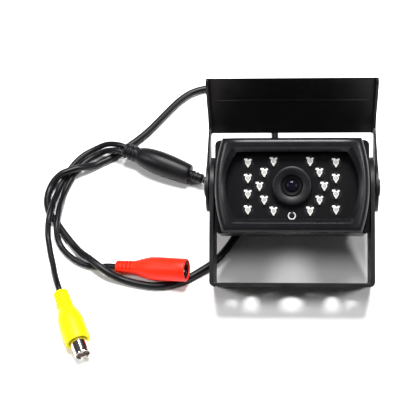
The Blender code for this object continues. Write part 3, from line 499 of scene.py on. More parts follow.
class Bench:
    """Modelling steps that several pieces share."""

    @staticmethod
    def clear_selection() -> None:
        """Leaves edit mode and deselects every object."""
        if bpy.context.mode != "OBJECT":
            bpy.ops.object.mode_set(mode="OBJECT")
        bpy.ops.object.select_all(action="DESELECT")

    @staticmethod
    def close_edit() -> None:
        """Turns every face outward and leaves edit mode."""
        bpy.ops.mesh.select_all(action="SELECT")
        bpy.ops.mesh.normals_make_consistent(inside=False)
        bpy.ops.object.mode_set(mode="OBJECT")

    @classmethod
    def only(cls, piece: bpy.types.Object) -> None:
        """Selects one object and makes it active.

        Args:
            piece: the object.
        """
        cls.clear_selection()
        piece.select_set(True)
        bpy.context.view_layer.objects.active = piece

    @classmethod
    def pick(cls, piece: bpy.types.Object, kind: str, test: Callable[[Vector, Vector], bool]) -> None:
        """Goes into edit mode with some of a piece's faces or vertices selected.

        Args:
            piece: the piece.
            kind: FACE or VERT.
            test: given the place and normal of each, says whether it is selected.
        """
        cls.only(piece)
        bpy.ops.object.mode_set(mode="EDIT")
        bpy.ops.mesh.select_mode(type=kind)
        bpy.ops.mesh.select_all(action="DESELECT")
        bpy.ops.object.mode_set(mode="OBJECT")
        if kind == "FACE":
            for face in piece.data.polygons:
                face.select = test(face.center, face.normal)
        else:
            for vertex in piece.data.vertices:
                vertex.select = test(vertex.co, vertex.normal)
        bpy.ops.object.mode_set(mode="EDIT")

    @classmethod
    def turned(
        cls, name: str, profile: Profile, segments: int = 48, ring: bool = False
    ) -> bpy.types.Object:
        """A round piece about +Z, extruded ring by ring from a circle.

        Args:
            name: name of the piece.
            profile: (radius, height) from one end to the other, or right round a ring's wall.
            segments: sides of the circle.
            ring: True joins the last circle to the first, False caps both.

        Returns:
            The piece.
        """
        cls.clear_selection()
        radius, height = profile[0]
        bpy.ops.mesh.primitive_circle_add(
            vertices=segments,
            radius=radius,
            fill_type="NOTHING" if ring else "NGON",
            location=(0.0, 0.0, height),
        )
        piece = bpy.context.object
        piece.name = name
        bpy.ops.object.transform_apply(location=True, rotation=True, scale=True)
        bpy.ops.object.mode_set(mode="EDIT")
        bpy.ops.mesh.select_mode(type="VERT")
        bpy.ops.mesh.select_all(action="SELECT")
        steps = profile[1:] + (profile[:1] if ring else [])
        for next_radius, next_height in steps:
            rise = (0.0, 0.0, next_height - height)
            bpy.ops.mesh.extrude_region_move(TRANSFORM_OT_translate={"value": rise})
            scale = next_radius / radius
            bpy.ops.transform.resize(value=(scale, scale, 1.0), center_override=(0.0, 0.0, next_height))
            radius, height = next_radius, next_height
        bpy.ops.mesh.select_all(action="SELECT")
        bpy.ops.mesh.remove_doubles(threshold=1e-7)
        Bench.close_edit()
        return piece

    @classmethod
    def plate(cls, name: str, outline: Profile, thickness: float) -> bpy.types.Object:
        """A flat piece cut to an outline in X and Z, as thick as given towards -Y.

        Args:
            name: name of the piece.
            outline: its corners, in order.
            thickness: its thickness.

        Returns:
            The piece.
        """
        cls.clear_selection()
        bpy.ops.mesh.primitive_circle_add(vertices=len(outline), radius=MM, fill_type="NGON")
        piece = bpy.context.object
        piece.name = name
        for vertex, (x, z) in zip(piece.data.vertices, outline):
            vertex.co = (x, 0.0, z)
        bpy.ops.object.mode_set(mode="EDIT")
        bpy.ops.mesh.select_all(action="SELECT")
        bpy.ops.mesh.extrude_region_move(TRANSFORM_OT_translate={"value": (0.0, -thickness, 0.0)})
        Bench.close_edit()
        return piece

    @classmethod
    def rounded(
        cls, piece: bpy.types.Object, width: float, segments: int = 2, angle: float = 35.0
    ) -> bpy.types.Object:
        """Bevels a piece's sharp edges and applies the modifier.

        Args:
            piece: the piece.
            width: width of the bevel.
            segments: its segments.
            angle: edges sharper than this, in degrees, are bevelled.

        Returns:
            The same piece.
        """
        cls.only(piece)
        bevel = piece.modifiers.new("edge_round", "BEVEL")
        bevel.width = width
        bevel.segments = segments
        bevel.limit_method = "ANGLE"
        bevel.angle_limit = radians(angle)
        bpy.ops.object.modifier_apply(modifier=bevel.name)
        return piece

    @classmethod
    def placed(
        cls,
        piece: bpy.types.Object,
        where: Matrix,
        finish: Finish,
        body: Body,
        slot: str,
        stands_for: tuple[str, ...] = (),
        smooth: float = 40.0,
    ) -> bpy.types.Object:
        """Puts a piece in place with its place in its mesh, finishes it and hands it to its body.

        Args:
            piece: the piece, modelled about the origin.
            where: its place.
            finish: its finish.
            body: the body it moves with.
            slot: the record's material slot it belongs to; it is not used.
            stands_for: CAD nodes that it replaces.
            smooth: edges sharper than this, in degrees, stay sharp.

        Returns:
            The same piece.
        """
        cls.only(piece)
        piece.matrix_world = where @ piece.matrix_world
        bpy.ops.object.transform_apply(location=True, rotation=True, scale=True)
        bpy.ops.object.shade_smooth_by_angle(angle=radians(smooth), keep_sharp_edges=False)
        piece.data.materials.clear()
        piece.data.materials.append(finish.material())
        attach(piece, body.value)
        if stands_for:
            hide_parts(*stands_for)
        LOG.info("%s: %d faces, %s", piece.name, len(piece.data.polygons), finish.name)
        return piece


def in_metres(rows: Profile) -> Profile:
    """A profile given in millimetres, in metres."""
    return [(a * MM, b * MM) for a, b in rows]


def math_angle(x: float, y: float) -> float:
    """The angle of a point about the origin, from 0 up to a full turn."""
    return atan2(y, x) % tau


def axis_frame(start: Vector, end: Vector) -> Matrix:
    """A frame at start with its +Z towards end and its +X as near upright as it can be.

    Args:
        start: origin, in the table frame.
        end: the point that +Z looks at, in the table frame.

    Returns:
        The frame in world space.
    """
    along = (end - start).normalized()
    up = Vector((0.0, 0.0, 1.0))
    up = (up - along * up.dot(along)).normalized()
    side = along.cross(up)
    turn = Matrix((up, side, along)).transposed().to_4x4()
    return TABLE_FRAME @ Matrix.Translation(start) @ turn


@dataclass
class Cord:
    """A round cord that lies where its CAD solid lies."""

    name: str
    diameter: float
    start: list[Vector]
    route: list[Point]
    finish: list[Vector]
    spacing: float = 1.6

    def middle_line(self) -> list[Vector]:
        """Points on the Catmull-Rom curve through the cord's route.

        Returns:
            The points in the table frame, in millimetres.
        """
        radius = self.diameter / 2
        laid = [Vector((x, y, lift + radius)) for x, y, lift in self.route]
        nodes = self.start + laid + self.finish
        nodes = [2 * nodes[0] - nodes[1]] + nodes + [2 * nodes[-1] - nodes[-2]]
        fine = []
        steps = 24
        for a, b, c, d in zip(nodes, nodes[1:], nodes[2:], nodes[3:]):
            for i in range(steps):
                t = i / steps
                bend = (2 * a - 5 * b + 4 * c - d) * t**2 + (3 * b - a - 3 * c + d) * t**3
                fine.append(0.5 * (2 * b + (c - a) * t + bend))
        fine.append(nodes[-2])
        lengths = [0.0]
        for here, there in zip(fine, fine[1:]):
            lengths.append(lengths[-1] + (there - here).length)
        count = max(2, round(lengths[-1] / self.spacing))
        line = []
        index = 0
        for k in range(count + 1):
            target = lengths[-1] * k / count
            while index < len(fine) - 2 and lengths[index + 1] < target:
                index += 1
            part = (target - lengths[index]) / max(lengths[index + 1] - lengths[index], 1e-9)
            point = fine[index].lerp(fine[index + 1], min(max(part, 0.0), 1.0))
            point.z = max(point.z, radius)
            line.append(point)
        return line

    def build(self, far_end: str, with_pieces: list[bpy.types.Object | str]) -> bpy.types.Object:
        """Args:
            far_end: what is on its end; it is not used.
            with_pieces: the pieces on it; it is not used.

        Returns:
            The cord.
        """
        line = self.middle_line()
        curve = bpy.data.curves.new(f"{self.name}_jacket", "CURVE")
        curve.dimensions = "3D"
        curve.fill_mode = "FULL"
        curve.use_fill_caps = True
        curve.bevel_depth = self.diameter / 2 * MM
        curve.bevel_resolution = 5
        spline = curve.splines.new("POLY")
        spline.points.add(len(line) - 1)
        for point, place in zip(spline.points, line):
            world = TABLE_FRAME @ (place * MM)
            point.co = (*world, 1.0)
        spline.use_smooth = True
        cord = bpy.data.objects.new(f"{self.name}_jacket", curve)
        bpy.context.scene.collection.objects.link(cord)
        curve.materials.append(BLACK_PVC.material())
        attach(cord, Body.HEAD.value)
        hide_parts(self.name)
        return cord


@dataclass
class Slots:
    """Slots across the neck of a moulding that let it bend."""

    start: float
    pitch: float
    width: float
    count: int
    depth: float
    centre: float
    half_angle: float


@dataclass
class Moulding:
    """A round moulded piece about its own axis, with slots in its neck."""

    name: str
    profile: Profile
    slots: list[Slots] = field(default_factory=list)
    segments: int = 72

    def build(self) -> bpy.types.Object:
        """Turns the piece, then sinks its slots.

        Returns:
            The piece, about +Z.
        """
        rows = in_metres(self.profile)
        piece = Bench.turned(self.name, self.with_slot_rows(rows), self.segments)
        for slots in self.slots:
            self.sink(piece, slots)
        return piece

    def with_slot_rows(self, rows: Profile) -> Profile:
        """The profile with a row at each side of every slot.

        Args:
            rows: the plain profile.

        Returns:
            The profile with more rows.
        """
        cuts = set()
        for slots in self.slots:
            for i in range(slots.count):
                low = (slots.start + i * slots.pitch) * MM
                cuts.update((round(low, 7), round(low + slots.width * MM, 7)))
        result = [rows[0]]
        for (r0, z0), (r1, z1) in zip(rows, rows[1:]):
            for cut in sorted(c for c in cuts if z0 + 1e-6 < c < z1 - 1e-6):
                share = (cut - z0) / (z1 - z0)
                result.append((r0 + (r1 - r0) * share, cut))
            result.append((r1, z1))
        return result

    @staticmethod
    def sink(piece: bpy.types.Object, slots: Slots) -> None:
        """Extrudes the faces of one set of slots inward.

        Args:
            piece: the turned piece.
            slots: the slots.
        """
        spans = [
            ((slots.start + i * slots.pitch) * MM, (slots.start + i * slots.pitch + slots.width) * MM)
            for i in range(slots.count)
        ]
        facing = Vector((cos(slots.centre), sin(slots.centre)))

        def in_slot(centre: Vector, normal: Vector) -> bool:
            """Whether a face lies on the neck's wall inside one of the slots.

            Args:
                centre: the middle of the face.
                normal: its normal.

            Returns:
                True inside a slot.
            """
            flat = Vector((centre.x, centre.y))
            if flat.length < 1e-6 or abs(normal.z) > 0.7:
                return False
            inside = any(low < centre.z < high for low, high in spans)
            return inside and flat.normalized().dot(facing) > cos(slots.half_angle)

        Bench.pick(piece, "FACE", in_slot)
        bpy.ops.mesh.extrude_region_shrink_fatten(
            MESH_OT_extrude_region={}, TRANSFORM_OT_shrink_fatten={"value": slots.depth * MM}
        )
        Bench.close_edit()


@dataclass
class VideoConnector:
    """Yellow moulding with a plated phono socket."""

    tail: Vector = field(default_factory=lambda: Vector((-116.5, -43.4, 6.6)))
    tip: Vector = field(default_factory=lambda: Vector((-102.0, -78.0, 6.6)))
    barrel_reach: float = 7.7
    barrel_radius: float = 4.15
    buried: float = 4.7

    def build(self) -> list[bpy.types.Object]:
        """Makes the moulding, barrel, insulator and centre contact.

        Returns:
            The four pieces.
        """
        where = axis_frame(self.tail * MM, self.tip * MM)
        length = (self.tip - self.tail).length
        mouth = length - self.barrel_reach
        sides = [
            Slots(
                start=1.3,
                pitch=1.75,
                width=0.85,
                count=5,
                depth=-1.0,
                centre=radians(angle),
                half_angle=radians(62.0),
            )
            for angle in (25.0, 205.0)
        ]
        body = Moulding(
            "video_connector_moulding",
            [
                (3.2, 0.0), (3.7, 0.25), (3.85, 0.7), (3.9, 5.0), (4.05, 9.4), (4.25, 10.4),
                (4.75, 11.8), (5.4, 13.4),
                (5.95, 15.0), (6.3, 16.6), (6.45, 18.4), (6.5, 20.5), (6.48, 24.0), (6.4, mouth - 1.0),
                (6.3, mouth - 0.35), (5.95, mouth), (5.3, mouth), (4.75, mouth - 0.15),
                (4.45, mouth - 0.6),
                (4.4, mouth - 1.6),
            ],
            sides,
        ).build()
        body = Bench.placed(body, where, YELLOW_PVC, Body.HEAD, "yellow_pvc", ("video_plug_body",), 32.0)

        inner = self.barrel_radius - 0.6
        start = mouth - self.buried + 3.2
        rim = [
            (self.barrel_radius, start), (self.barrel_radius, length - 1.3),
            (self.barrel_radius - 0.18, length - 1.1),
            (self.barrel_radius - 0.18, length - 0.85), (self.barrel_radius, length - 0.65),
            (self.barrel_radius, length - 0.25), (self.barrel_radius - 0.2, length),
            (inner + 0.1, length),
            (inner, length - 0.2), (inner, start),
        ]
        barrel = Bench.turned("video_socket_barrel", in_metres(rim), 64, ring=True)
        barrel = Bench.placed(barrel, where, NICKEL, Body.HEAD, "chrome", ("rca_barrel",))

        core = inner - 0.05
        disc = [
            (1.6, start), (core, start), (core, length - 1.5), (core - 0.25, length - 1.2),
            (2.0, length - 1.2),
            (1.75, length - 1.35), (1.6, length - 1.8),
        ]
        insulator = Bench.turned("video_socket_insulator", in_metres(disc), 48, ring=True)
        insulator = Bench.placed(insulator, where, INSULATOR, Body.HEAD, "insulator", ("rca_insulator",))

        tube = [
            (0.85, start), (1.35, start), (1.35, length - 1.7), (1.2, length - 1.5),
            (0.95, length - 1.5), (0.85, length - 1.7),
        ]
        contact = Bench.turned("video_socket_contact", in_metres(tube), 32, ring=True)
        contact = Bench.placed(contact, where, NICKEL, Body.HEAD, "chrome", ("rca_contact",))
        return [body, barrel, insulator, contact]


@dataclass
class PowerConnector:
    """Red moulding with a barrel socket and a centre pin."""

    tail: Vector = field(default_factory=lambda: Vector((-89.5, -26.5, 3.7)))
    tip: Vector = field(default_factory=lambda: Vector((-52.7, -32.2, 10.3)))
    depth: float = 9.0

    def build(self) -> list[bpy.types.Object]:
        """Makes the moulding, insulator and pin.

        Returns:
            The three pieces.
        """
        where = axis_frame(self.tail * MM, self.tip * MM)
        length = (self.tip - self.tail).length
        sides = [
            Slots(
                start=1.6,
                pitch=2.1,
                width=1.0,
                count=4,
                depth=-0.95,
                centre=radians(angle),
                half_angle=radians(66.0),
            )
            for angle in (-12.0, 168.0)
        ]
        body = Moulding(
            "power_connector_moulding",
            [
                (2.7, 0.0), (3.15, 0.25), (3.3, 0.7), (3.35, 5.0), (3.45, 9.0), (3.65, 10.2),
                (4.05, 11.8), (4.55, 13.4),
                (5.05, 15.0), (5.5, 16.8), (5.8, 18.6), (5.95, 20.5), (6.0, 23.0), (5.98, 27.0),
                (5.9, 32.0),
                (5.85, length - 0.9), (5.7, length - 0.3), (5.4, length), (4.95, length),
                (4.7, length - 0.2),
                (4.6, length - 0.7), (4.55, length - self.depth),
            ],
            sides,
        ).build()
        body = Bench.placed(body, where, RED_PVC, Body.HEAD, "red_pvc", ("power_plug_body",), 32.0)

        start = length - self.depth + 0.1
        ring = [
            (2.85, start), (4.5, start), (4.5, length - 1.0), (4.25, length - 0.6), (3.2, length - 0.6),
            (2.95, length - 0.8), (2.85, length - 1.2),
        ]
        sleeve = Bench.turned("power_socket_sleeve", in_metres(ring), 48, ring=True)
        sleeve = Bench.placed(sleeve, where, BLACK_MOULDING, Body.HEAD, "insulator", ("dc_insulator",))
        pin_line = [
            (1.05, start), (1.05, length - 2.0), (0.95, length - 1.5), (0.6, length - 1.15),
            (0.25, length - 1.05),
        ]
        pin = Bench.turned("power_socket_pin", in_metres(pin_line), 24)
        pin = Bench.placed(pin, where, NICKEL, Body.HEAD, "chrome", ("dc_pin",))
        return [body, sleeve, pin]


@dataclass
class Splitter:
    """Black moulding where the main cable divides."""

    start: Vector = field(default_factory=lambda: Vector((-89.8, 43.2, 8.4)))
    end: Vector = field(default_factory=lambda: Vector((-47.1, 25.9, 5.6)))
    seam_start: float = 9.0
    seam_end: float = 38.0
    seam_half_width: float = 0.35
    seam_rise: float = 1.02

    def build(self) -> bpy.types.Object:
        """Makes the moulding with a thick ribbed neck and a thin one.

        Returns:
            The piece.
        """
        where = axis_frame(self.start * MM, self.end * MM)
        length = (self.end - self.start).length
        rows = [
            (3.4, 0.0), (4.0, 0.25), (4.3, 0.7), (4.3, 1.5), (3.9, 1.9), (3.55, 2.1), (3.55, 2.7),
            (3.9, 2.9),
        ]
        rows += [
            (4.3, 3.3), (4.35, 4.2), (3.95, 4.6), (3.6, 4.8), (3.6, 5.3), (3.95, 5.5), (4.25, 5.8),
            (4.3, 6.8),
        ]
        rows += [
            (4.0, 7.2), (3.85, 7.5), (4.2, 8.4), (4.8, 9.6), (5.35, 11.4), (5.85, 13.8),
            (6.2, 16.6), (6.4, 19.6),
        ]
        rows += [
            (6.4, 22.6), (6.3, 26.0), (6.1, 29.4), (5.8, 32.8), (5.5, 35.6), (5.25, 37.4),
            (4.95, 38.2),
        ]
        rows += [
            (3.9, 38.6), (3.0, 38.75), (2.6, 38.95), (2.55, 39.5), (2.9, 39.8), (2.9, 40.8),
            (2.4, 41.1), (2.35, 41.7),
        ]
        rows += [
            (2.8, 42.0), (2.8, 43.0), (2.35, 43.3), (2.3, 43.9), (2.7, 44.2), (2.7, 45.2),
            (2.3, length - 0.2),
        ]
        rows += [(2.1, length)]
        piece = Moulding("splitter_moulding", rows, segments=64).build()
        low, high = self.seam_start * MM, self.seam_end * MM
        reach = self.seam_half_width * MM
        Bench.pick(piece, "VERT", lambda place, _: low < place.z < high and abs(place.y) < reach)
        bpy.ops.transform.resize(value=(self.seam_rise, 1.0, 1.0), center_override=(0.0, 0.0, 0.0))
        bpy.ops.object.mode_set(mode="OBJECT")
        return Bench.placed(piece, where, BLACK_MOULDING, Body.HEAD, "cable_pvc", ("cable_splitter",), 50.0)


def in_head(node: str) -> tuple[Vector, Vector]:
    """The box of a CAD node in the head frame.

    Args:
        node: the node's name.

    Returns:
        Its lowest and highest corners.
    """
    back = HEAD_FRAME.inverted()
    points = [back @ v.co for v in frame["nodes"][node].data.vertices]
    low = Vector(min(p[i] for p in points) for i in range(3))
    high = Vector(max(p[i] for p in points) for i in range(3))
    return low, high


@dataclass
class InfraredLamps:
    """Clear domes, each with a silvered lead frame under it."""

    dome_radius: float = 2.35
    flange_radius: float = 2.75
    count: int = 18
    frame_lift: float = 0.75
    die_lift: float = 1.22

    def frame_outline(self) -> Profile:
        """Outline of a lead frame: two ears, a round cup and a tail.

        Returns:
            Corners in millimetres.
        """
        right = [
            (0.34, -2.35), (0.48, -1.75), (0.85, -1.25), (1.20, -0.75), (1.36, -0.10), (1.26, 0.50),
            (1.10, 0.80),
        ]
        right += [(1.72, 0.95), (1.80, 1.60), (0.85, 1.80), (0.62, 1.32)]
        left = [
            (-0.20, 1.32), (-0.42, 1.95), (-1.88, 1.88), (-1.95, 1.10), (-1.15, 0.85),
            (-1.26, 0.50), (-1.36, -0.10),
        ]
        left += [(-1.20, -0.75), (-0.85, -1.25), (-0.48, -1.75), (-0.34, -2.35)]
        return right + left

    def lead_frame(self) -> bpy.types.Object:
        """One flat lead frame with rounded edges.

        Returns:
            The frame about the lamp's axis.
        """
        outline = in_metres(self.frame_outline())
        plate = Bench.plate("lead_frame", outline, 0.45 * MM)
        return Bench.rounded(plate, 0.10 * MM, 2)

    def cup(self) -> bpy.types.Object:
        """The thin rim of the reflector cup, about +Z.

        Returns:
            The rim.
        """
        rows = [(0.58, 0.0), (0.84, 0.0), (0.84, 0.12), (0.71, 0.18), (0.58, 0.12)]
        return Bench.turned("lamp_cup", in_metres(rows), 24, ring=True)

    def die(self) -> bpy.types.Object:
        """The die in the middle of the cup, about +Z.

        Returns:
            The die.
        """
        rows = [(0.20, 0.0), (0.24, 0.05), (0.24, 0.16), (0.18, 0.22), (0.08, 0.24)]
        return Bench.turned("lamp_die", in_metres(rows), 12)

    def dome(self, height: float) -> bpy.types.Object:
        """One dome about +Z.

        Args:
            height: from its flange to its top.

        Returns:
            The dome.
        """
        r, f = self.dome_radius, self.flange_radius
        rise = height / MM - 0.9
        rows = [(f - 0.1, 0.0), (f, 0.12), (f, 0.42), (f - 0.12, 0.55), (r + 0.08, 0.6), (r, 0.75)]
        rows += [(r * cos(radians(a)), 0.9 + rise * sin(radians(a))) for a in range(8, 89, 10)]
        return Bench.turned("lamp_dome", in_metres(rows), 32)

    def build(self) -> None:
        """Makes every lamp where its CAD dome is."""
        turn = Matrix.Rotation(pi / 2, 4, "X")
        for number in range(1, self.count + 1):
            node = f"ir_led_{number:02d}"
            low, high = in_head(node)
            middle = (low + high) / 2
            base = Matrix.Translation((middle.x, high.y, middle.z))
            lift = Matrix.Translation((0.0, -self.frame_lift * MM, 0.0))
            lead = self.lead_frame()
            lead.name = f"lamp_{number:02d}_lead_frame"
            # The lead frame's finish carries a painted glow: painted light that brightens it behind the
            # pane.
            Bench.placed(lead, HEAD_FRAME @ base @ lift, SILVER_PAINTED_GLOW, Body.HEAD, "led_resin", smooth=30.0)
            for part, label in ((self.die(), "die"), (self.cup(), "cup")):
                part.name = f"lamp_{number:02d}_{label}"
                on_frame = Matrix.Translation((0.0, -self.die_lift * MM, 0.0))
                Bench.placed(part, HEAD_FRAME @ base @ on_frame @ turn, DIE, Body.HEAD, "led_resin")
            dome = self.dome(high.y - low.y)
            dome.name = f"lamp_{number:02d}_dome"
            Bench.placed(dome, HEAD_FRAME @ base @ turn, RESIN, Body.HEAD, "led_resin", (node,))


@dataclass
class LightSensor:
    """Dark cell in a bright silver cup, partly brightened by a painted glow, that is open at the top, under
    a clear cap.
    """

    radius: float = 2.0

    def build(self) -> None:
        """Makes the cup, the cell and the cap where the CAD sensor is."""
        low, high = in_head("light_sensor")
        middle = (low + high) / 2
        turn = Matrix.Rotation(pi / 2, 4, "X")
        base = HEAD_FRAME @ Matrix.Translation((middle.x, high.y, middle.z)) @ turn
        cup_rows = [(1.30, 0.6), (1.5, 0.6), (1.88, 0.9), (1.92, 1.5), (1.72, 1.55), (1.38, 1.0)]
        cup = Bench.turned("light_sensor_cup", in_metres(cup_rows), 48, ring=True)
        gap = cos(radians(24.0))
        Bench.pick(cup, "FACE", lambda place, _: place.y > gap * Vector((place.x, place.y)).length)
        bpy.ops.mesh.delete(type="FACE")
        bpy.ops.mesh.select_mode(type="EDGE")
        bpy.ops.mesh.select_non_manifold()
        bpy.ops.mesh.edge_face_add()
        Bench.close_edit()
        # The cup's finish carries a painted glow: painted light that keeps it bright under the cap.
        Bench.placed(cup, base, SILVER_PAINTED_GLOW, Body.HEAD, "sensor_resin")
        cell_rows = [(1.2, 0.6), (1.25, 0.7), (1.25, 0.95), (1.1, 1.1), (0.3, 1.15)]
        cell = Bench.turned("light_sensor_cell", in_metres(cell_rows), 32)
        Bench.placed(cell, base, LENS_COAT, Body.HEAD, "sensor_resin")
        top = (high.y - low.y) / MM
        cap_rows = [
            (self.radius, 0.0), (self.radius + 0.05, 0.2), (self.radius, top - 0.9),
            (1.8, top - 0.45),
        ]
        cap_rows += [(1.3, top - 0.15), (0.7, top - 0.02), (0.2, top)]
        cap = Bench.turned("light_sensor_cap", in_metres(cap_rows), 40)
        Bench.placed(cap, base, RESIN, Body.HEAD, "sensor_resin", ("light_sensor",))


@dataclass
class Lens:
    """Stepped black shroud round a coated front element."""

    outer: float = 9.85
    bore: float = 5.2

    def build(self) -> None:
        """Makes the shroud and the front element where the CAD ones are."""
        low, high = in_head("lens_shroud")
        turn = Matrix.Rotation(pi / 2, 4, "X")
        base = HEAD_FRAME @ Matrix.Translation((0.0, high.y, -HEAD_DROP)) @ turn
        top = (high.y - low.y) / MM
        rows = [
            (self.bore, 0.0), (self.outer, 0.0), (self.outer, top - 1.1),
            (self.outer - 0.08, top - 0.75),
            (self.outer - 0.30, top - 0.38), (self.outer - 0.65, top - 0.12),
            (self.outer - 1.1, top), (8.0, top - 0.02),
            (7.2, top - 0.10), (6.4, top - 0.24), (5.8, top - 0.42), (5.5, top - 0.50),
            (5.32, top - 0.62),
            (5.22, top - 0.80), (self.bore, top - 1.1),
        ]
        shroud = Bench.turned("lens_shroud_ring", in_metres(rows), 96, ring=True)
        Bench.placed(shroud, base, OPTIC_BLACK, Body.HEAD, "optics_black", ("lens_shroud",), 60.0)
        low, high = in_head("lens_glass")
        base = HEAD_FRAME @ Matrix.Translation((0.0, high.y, -HEAD_DROP)) @ turn
        top = (high.y - low.y) / MM
        retainer_rows = [
            (3.1, 0.2), (4.85, 0.2), (4.85, 0.9), (4.6, 1.0), (4.2, 0.9), (3.9, 0.7), (3.55, 0.6),
            (3.3, 0.5),
        ]
        retainer = Bench.turned("lens_retainer", in_metres(retainer_rows), 72, ring=True)
        Bench.placed(retainer, base, BOARD_BLACK, Body.HEAD, "optics_black", smooth=50.0)
        arc = [radians(a) for a in range(0, 90, 8)]
        glass_rows = [(3.0, 0.0)]
        glass_rows += [(3.05 * cos(a), 0.35 + (top - 0.75) * sin(a)) for a in arc]
        glass = Bench.turned("lens_front_element", in_metres(glass_rows), 48)
        Bench.placed(glass, base, LENS_COAT, Body.HEAD, "lens", ("lens_glass",))


@dataclass
class Bezel:
    """Barrel-shaped front frame whose face falls away towards its sides, with a sloping window edge."""

    width: float = 74.3
    end_width: float = 66.9
    height: float = 45.6
    wall: float = 2.2
    edge_round: float = 2.4
    front: float = 25.3
    rear: float = 14.0
    lip_rear: float = 22.6
    window: tuple[float, float, float] = (63.6, 52.6, 32.2)
    slope: float = 2.2
    fall: float = 2.3
    fall_start: float = 23.0
    side_steps: int = 16
    edge_steps: int = 12

    def outline(self, width: float, end_width: float, height: float) -> Profile:
        """Flat top and bottom, with sides that are arcs from end_width to width.

        Args:
            width: width across the middle.
            end_width: width along the top and bottom.
            height: height.

        Returns:
            Corners as (x, z) in millimetres, the same number whatever the size.
        """
        bulge = (width - end_width) / 2
        radius = ((height / 2) ** 2 + bulge**2) / (2 * bulge)
        half_angle = asin(height / 2 / radius)
        middle = width / 2 - radius
        turns = [half_angle * (2 * i / self.side_steps - 1) for i in range(self.side_steps + 1)]
        side = [(middle + radius * cos(a), radius * sin(a)) for a in turns]
        top = [(end_width * (0.5 - i / self.edge_steps), height / 2) for i in range(1, self.edge_steps)]
        half = side + top
        return half + [(-x, -z) for x, z in half]

    def fallen(self, x: float) -> float:
        """How far the face has fallen back at a distance from the middle."""
        past = max(0.0, abs(x) - self.fall_start) / (self.width / 2 - self.fall_start)
        return self.fall * past**2

    def sections(self) -> list[list[Vector]]:
        """Loops from the outer rear edge, over the face, into the window and back along the inner wall.

        Returns:
            The loops, in the head frame.
        """
        loops = []

        def add(outline: Profile, depth: float, follows_face: bool) -> None:
            """Adds one loop.

            Args:
                outline: its corners.
                depth: how far in front of the pivot axis it lies.
                follows_face: True lets its sides fall away with the face.
            """
            back = [self.fallen(x) if follows_face else 0.0 for x, _ in outline]
            loops.append(
                [Vector((x * MM, (b - depth) * MM, z * MM - HEAD_DROP)) for (x, z), b in zip(outline, back)]
            )

        size = (self.width, self.end_width, self.height)
        add(self.outline(*size), self.rear, False)
        for angle in (0, 18, 36, 54, 72, 90):
            inset = self.edge_round * (1 - cos(radians(angle)))
            depth = self.front - self.edge_round * (1 - sin(radians(angle)))
            add(self.outline(*(value - 2 * inset for value in size)), depth, True)
        face = self.outline(*(value - 2 * self.edge_round for value in size))
        mouth = self.outline(*(value + 2 * self.slope for value in self.window))
        for share in (0.25, 0.5, 0.75, 1.0):
            between = [(a + (c - a) * share, b + (d - b) * share) for (a, b), (c, d) in zip(face, mouth)]
            add(between, self.front, True)
        add(self.outline(*self.window), self.lip_rear + 0.3, False)
        add(self.outline(*self.window), self.lip_rear, False)
        pocket = self.outline(*(value - 2 * self.wall for value in size))
        add(pocket, self.lip_rear, False)
        add(pocket, self.rear, False)
        return loops

    def build(self) -> None:
        """Makes the bezel, with a notch for the light sensor."""
        loops = self.sections()
        count = len(loops[0])
        steps = [(MM * (k + 1), MM * k) for k in range(len(loops))]
        piece = Bench.turned("bezel_frame", steps, count, ring=True)
        for index, loop in enumerate(loops):
            ring = [v for v in piece.data.vertices if abs(v.co.z - MM * index) < 1e-6]
            ring.sort(key=lambda v: round(math_angle(v.co.x, v.co.y), 5))
            for vertex, place in zip(ring, loop):
                vertex.co = (place.x, place.y, place.z)
        Bench.only(piece)
        bpy.ops.object.mode_set(mode="EDIT")
        Bench.close_edit()
        low, high = in_head("light_sensor")
        middle = (low + high) / 2
        Bench.clear_selection()
        centre = (0.0, -24 * MM, middle.z)
        bpy.ops.mesh.primitive_cylinder_add(
            vertices=48, radius=(high.x - low.x) / 2 + 0.3 * MM, depth=20 * MM, location=centre
        )
        cutter = bpy.context.object
        bpy.ops.transform.rotate(value=pi / 2, orient_axis="X", center_override=centre)
        bpy.ops.object.transform_apply(location=True, rotation=True, scale=True)
        Bench.only(piece)
        notch = piece.modifiers.new("sensor_notch", "BOOLEAN")
        notch.object = cutter
        notch.operation = "DIFFERENCE"
        bpy.ops.object.modifier_apply(modifier=notch.name)
        bpy.data.objects.remove(cutter)
        Bench.rounded(piece, 0.22 * MM, 2, 42.0)
        Bench.placed(piece, HEAD_FRAME, HOUSING, Body.HEAD, "housing", ("front_bezel",), 30.0)


@dataclass
class VisorCrease:
    """The pressed line across the inside of the visor's roof."""

    width: float = 0.9
    height: float = 0.16
    reach: float = 38.0
    forward: float = 28.4
    roof_inside: float = 33.05
    tilt: float = radians(38.0)

    def build(self) -> None:
        """Makes the line as a low bead on the roof's inner face."""
        half = self.width / 2
        rows = [
            (-half, 0.0), (-half * 0.6, -self.height * 0.7), (0.0, -self.height),
            (half * 0.6, -self.height * 0.7),
        ]
        outline = in_metres(rows + [(half, 0.0), (0.0, 0.05)])
        bead = Bench.plate("visor_press_line", outline, 2 * self.reach * MM)
        Bench.rounded(bead, 0.05 * MM, 1)
        hinge = HEAD_FRAME @ Matrix.Rotation(-self.tilt, 4, "X")
        place = Vector((self.reach * MM, -self.forward * MM, self.roof_inside * MM))
        where = hinge @ Matrix.Translation(place) @ Matrix.Rotation(-pi / 2, 4, "Z")
        Bench.placed(bead, where, PAINT, Body.VISOR, "paint", smooth=60.0)


